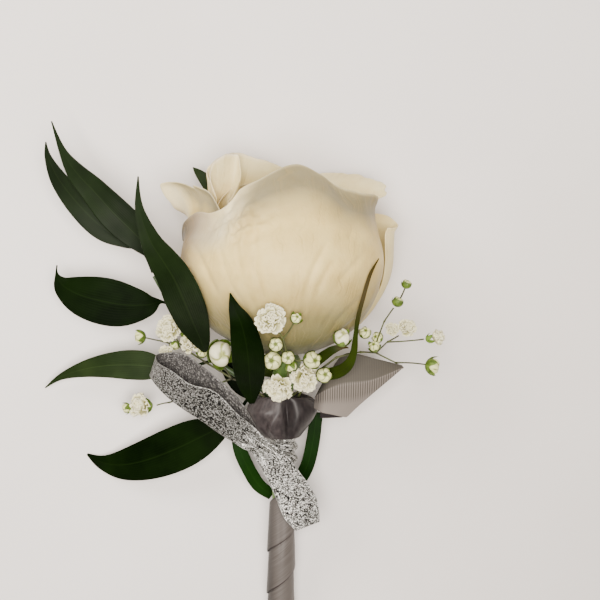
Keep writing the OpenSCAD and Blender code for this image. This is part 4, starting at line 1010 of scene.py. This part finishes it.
OPEN_RINGS = [(9, 4, 1.08), (9, 24, 1.0), (8, 44, 0.9), (6, 62, 0.78), (4, 78, 0.66)]
OPEN_MODELS = [double_blossom(OPEN_RINGS, seed) for seed in (3, 11, 23)]
SIDE_MODEL = double_blossom([(8, 28, 1.15), (8, 48, 1.1), (6, 66, 1.0), (4, 80, 0.9)], 5, cup=True)
TISSUE = blossom_white()
BUD_WHITE = bud_cream("baby_breath_bud_white", "DBD8B4", "9CA260")
for number, (x, y, z, r, lean_x, lean_y, form) in enumerate(BLOSSOMS):
    model, grow = [(OPEN_MODELS[number % 3], 1.12), (SIDE_MODEL, 1.05), (WHITE_BUD, 1.0)][form]
    centre = seen(x, y, z)
    made = placed_copy(model, centre, Vector((lean_x, lean_y, 0.8)), r * grow, number * 0.9)
    if form == 2:
        squeeze = Matrix.Diagonal((0.96, 1.08, 1, 1))
        made.data.transform(Matrix.Translation(centre) @ squeeze @ Matrix.Translation(-centre))
    made.name = f"blossom_{number + 1}_petals"
    dressed(made, [f"blossom_{number + 1}"], "blossom", BUD_WHITE if form == 2 else TISSUE)
for model in (*BUD_MODELS, *OPEN_MODELS, SIDE_MODEL, WHITE_BUD):
    bpy.data.objects.remove(model)


# Ribbons
# The wound ribbon's ramp paints shade down its left edge
SATIN = satin_grey("polyester_satin_warm_grey", "48433F", "5E5956", [(0.38, 0.3), (0.45, 0.8), (0.5, 1.0)])
# The copy for the collar and the turned-under part is darker all over and darker again toward its right:
# painted shade
SATIN_SHADED = satin_grey("polyester_satin_grey_painted_shade", "272223", "3E3838", [(0.5, 1.0), (0.62, 0.5)])
# The grey ribbon's width, then its winding: distance down the stem, pitch, radius and rise of the upper lap
GREY_WIDTH = 13.5
WOUND_START, WOUND_PITCH, WOUND_R, WOUND_RISE = 29.4, 11.3, 2.95, 0.55
WOUND_TURNS = (STEM_LENGTH - 3 - WOUND_START - GREY_WIDTH) / WOUND_PITCH


def wound_place(u, v):
    """The grey ribbon wound down the stem, each turn lapped over the next one's edge."""
    s = 2 * pi * (WOUND_TURNS * v - 0.354)
    t = 1 - u
    r = WOUND_R + WOUND_RISE * t
    slant = -cos(s) * hump(v, 0.5, 0.5) ** 0.3
    down = WOUND_START + WOUND_PITCH * WOUND_TURNS * v + GREY_WIDTH * t + slant
    return stem_point(r * cos(s), r * sin(s), down)


def wound_relief(u, v, p):
    """Slack lengthwise folds in the wound ribbon, flat at its lapped edge."""
    return 0.12 * rough((p.x * 1.6, p.y * 0.28, p.z * 1.6), 2.6, 6) * hump(u, 0.45, 0.42)


wrap = walled(laid_grid("stem_wrap_ribbon", 14, 150, wound_place, wound_relief), 0.22)
dressed(wrap, ["stem_wrap"], "grey_ribbon", SATIN)

# Columns: distance down the stem, reach to the left, reach to the right, depth, pleats
COLLAR_ROWS = [
    [13.6, 4.4, 4.6, 4.4, 0.1], [12.2, 6.4, 6.8, 5.8, 0.2], [14.2, 8.7, 8.8, 6.6, 0.8],
    [16.6, 9.4, 8.2, 7, 1.0], [19, 8.8, 6.8, 6.5, 0.9], [20.8, 7.2, 5.4, 5.6, 0.6], [22, 5.8, 4.6, 4.8, 0.2]]


def collar_place(u, v):
    """The gathered turn of grey ribbon over the stems: its rim rolled in, its front rising to the bloom."""
    down, left, right, depth, pleats = run(COLLAR_ROWS, v)
    s = -2 * pi * u
    reach = left if cos(s) < 0 else right
    oval = 1 / sqrt((cos(s) / reach) ** 2 + (sin(s) / depth) ** 2)
    bearing = degrees(s)
    # The cleft between the pouch on the left and the drawn-down right side
    cleft = 2.2 * pleats * exp(-((bearing + 277 + 12 * v) / 11) ** 2)
    r = oval - cleft + pleats * 0.05 * cos(radians(bearing * 5 + 40))
    rise = 2.2 * (1 - v) ** 2 * max(sin(s), 0)
    return stem_point(r * cos(s), r * sin(s), down - rise)


def collar_relief(u, v, p):
    """Faint gathers down the collar, a soft swell at its upper left and one S-shaped fold beside a crease."""
    gather = 0.1 * rough((p.x * 1.2, p.y * 0.5, p.z * 1.2), 2.8, 9)
    swell = 0.8 * exp(-((p.x + 9.3) / 2.6) ** 2 - ((p.y + 28.2) / 1.3) ** 2)
    fold = p.x + 6.3 + cos((p.y + 31.7) * 0.7)
    near = exp(-((p.y + 31.7) / 2.4) ** 2)
    ridge = 1.15 * exp(-(fold / 0.8) ** 2) * near
    crease = 1.1 * exp(-((fold + 1.5) / 0.6) ** 2) * near
    return (gather + swell + ridge - crease) * hump(v, 0.5, 0.5) ** 0.5


collar = walled(laid_grid("collar_ribbon", 96, 24, collar_place, collar_relief, closed=True), 0.5)
dressed(collar, ["collar"], "grey_ribbon", SATIN_SHADED)

# Columns: lower edge x, y, z, fold x, y, z, upper edge x, y, z
TAIL_ROWS = [
    [3.4, -27, 22.4, 3.8, -24, 23.6, 4.6, -22.4, 22.4],
    [5.4, -28.2, 22, 6.6, -22.6, 24.2, 7.6, -17.5, 21],
    [8.2, -28.8, 21.2, 11, -21.2, 24.2, 11.6, -13.2, 20.2],
    [10, -29.2, 20.4, 18, -20.2, 23.6, 19.2, -14.6, 20.4],
    [11.6, -29.4, 19.6, 26, -16.8, 22.8, 25.6, -16.3, 21.4]]
# Columns: lower edge x, y, z, upper edge x, y, z
FOLD_ROWS = [
    [4.9, -29.6, 17.6, 5.1, -27.2, 18.8], [6.6, -29.6, 18, 6.8, -27.8, 19],
    [8.6, -29.5, 18.2, 8.8, -28.4, 18.8], [10.6, -29.4, 18.2, 10.6, -28.9, 18.4]]


def tail_place(u, v):
    """The grey ribbon's free end, folded along its length."""
    row = run(TAIL_ROWS, v)
    low, fold, high = seen(*row[0:3]), seen(*row[3:6]), seen(*row[6:9])
    f = u * 2
    return low.lerp(fold, f) if f < 1 else fold.lerp(high, f - 1)


def fold_place(u, v):
    """The turned-under part of the grey ribbon."""
    row = run(FOLD_ROWS, v)
    return seen(*row[0:3]).lerp(seen(*row[3:6]), u)


def tail_relief(u, v, p):
    """Slack in the free end, more toward its cut."""
    return 0.35 * rough(p, 7, 14) * v


tail = walled(laid_grid("grey_tail_cloth", 34, 40, tail_place, tail_relief), 0.35)
turned = walled(laid_grid("collar_fold_cloth", 8, 16, fold_place), 0.4)
dressed(tail, ["grey_tail"], "grey_ribbon", grosgrain_grey())
dressed(turned, ["collar_fold"], "grey_ribbon", SATIN_SHADED)

# Columns: left edge x, y, z, right edge x, y, z
BOW_ROWS = [
    [-1, -57.8, 17.2, 5, -55.5, 15.6], [-4, -54.5, 18.2, 4.6, -50.8, 17.6],
    [-6.2, -49.2, 19.4, 2.8, -47, 19.6], [-8.8, -43.8, 21.2, 0, -43.2, 21.4],
    [-11, -40, 22.6, -3.6, -38.4, 23.4], [-12.4, -37.8, 22.4, -7.6, -35.2, 23.6],
    [-15, -36.6, 22.2, -10.8, -32.4, 25], [-19.5, -33.8, 22.6, -15.6, -28.4, 27],
    [-25.9, -29.6, 23, -21.4, -23, 28.6], [-32, -25.5, 24, -27.2, -21.2, 29],
    [-36, -21.5, 24.4, -32.2, -17.8, 28.8], [-37.6, -19.2, 23.6, -35.2, -16, 27],
    [-37.6, -19, 21.6, -36.2, -14.4, 24.6], [-36, -20, 20.2, -35, -13.2, 22.8],
    [-32, -23.8, 20, -29.2, -13.4, 22.4], [-26.2, -28.8, 20, -23.4, -17.2, 22.6],
    [-19.6, -33.8, 19.6, -15.6, -24.2, 21.8], [-14.6, -36.6, 19, -11, -31.4, 21]]


def bow_place(u, v):
    """The silver ribbon from its tail over the knot, out round the loop and back."""
    row = run(BOW_ROWS, v)
    return seen(*row[3:6]).lerp(seen(*row[0:3]), u)


def bow_relief(u, v, p):
    """Pinched folds at the knot and a little slack elsewhere."""
    knot = hump(v, 0.29, 0.1)
    folds = 0.75 * sin(u * 14 + 2.5 * rough(p, 4, 3)) * knot
    return folds + 0.2 * rough(p, 6, 17)


bow = walled(laid_grid("silver_bow_ribbon", 20, 200, bow_place, bow_relief), 0.3, back_slot=1)
# The silver ribbon's width, its length in the bow, and the tones of its grains from dark to bright
SILVER_WIDTH = 10.0
BOW_LENGTH = 105.0
BRIGHT_GRAINS = [(0.0, "020202"), (0.4, "0A0A0A"), (0.53, "5A5A57"), (0.68, "BCBCB6"), (0.85, "F8F8F4")]
BACK_GRAINS = [(0.0, "1C1A1A"), (0.5, "2C2A29"), (0.7, "464442"), (1.0, "74726F")]
# The face's last number is the painted shade on the loop
FACE = glitter_silver("metal_thread_ribbon_silver_face", BOW_LENGTH, BRIGHT_GRAINS, 0.75, 0.28, 0.5)
BACK = glitter_silver("metal_thread_ribbon_silver_back", BOW_LENGTH, BACK_GRAINS, 0.4, 0.4)
dressed(bow, ["silver_bow"], "silver_ribbon", FACE, BACK)

# The turn round the stem: its ends down the stem, its radius and the length that its grains are spread over
BAND_TOP, BAND_FOOT, BAND_R, BAND_LENGTH = 21.2, 28.9, 3.42, 22.0


def band_place(u, v):
    """The silver ribbon drawn tight round the stem in a few long pleats."""
    s = 2 * pi * u
    r = BAND_R + 0.44 * sin(v * 15.7 + 0.3 * sin(s)) + 0.05 * sin(3 * s + v * 6)
    return stem_point(r * cos(s), r * sin(s), mix(BAND_TOP, BAND_FOOT, 1 - v))


band = walled(laid_grid("silver_band_ribbon", 60, 26, band_place, closed=True), 0.25)
BAND_SILVER = glitter_silver("metal_thread_ribbon_silver_turn", BAND_LENGTH, BRIGHT_GRAINS, 0.75, 0.28)
dressed(band, ["silver_band"], "silver_ribbon", BAND_SILVER)

# The solids that keep their own meshes
STEM_GREEN = stalk_green("rose_stem_green", "3F5A22", "5C7A33", 0.5)
for node_name, finish in (("rose_stem", STEM_GREEN), ("lapel_pin", polished_steel())):
    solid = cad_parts[node_name]
    solid.data.materials.clear()
    solid.data.materials.append(finish)

deselect()
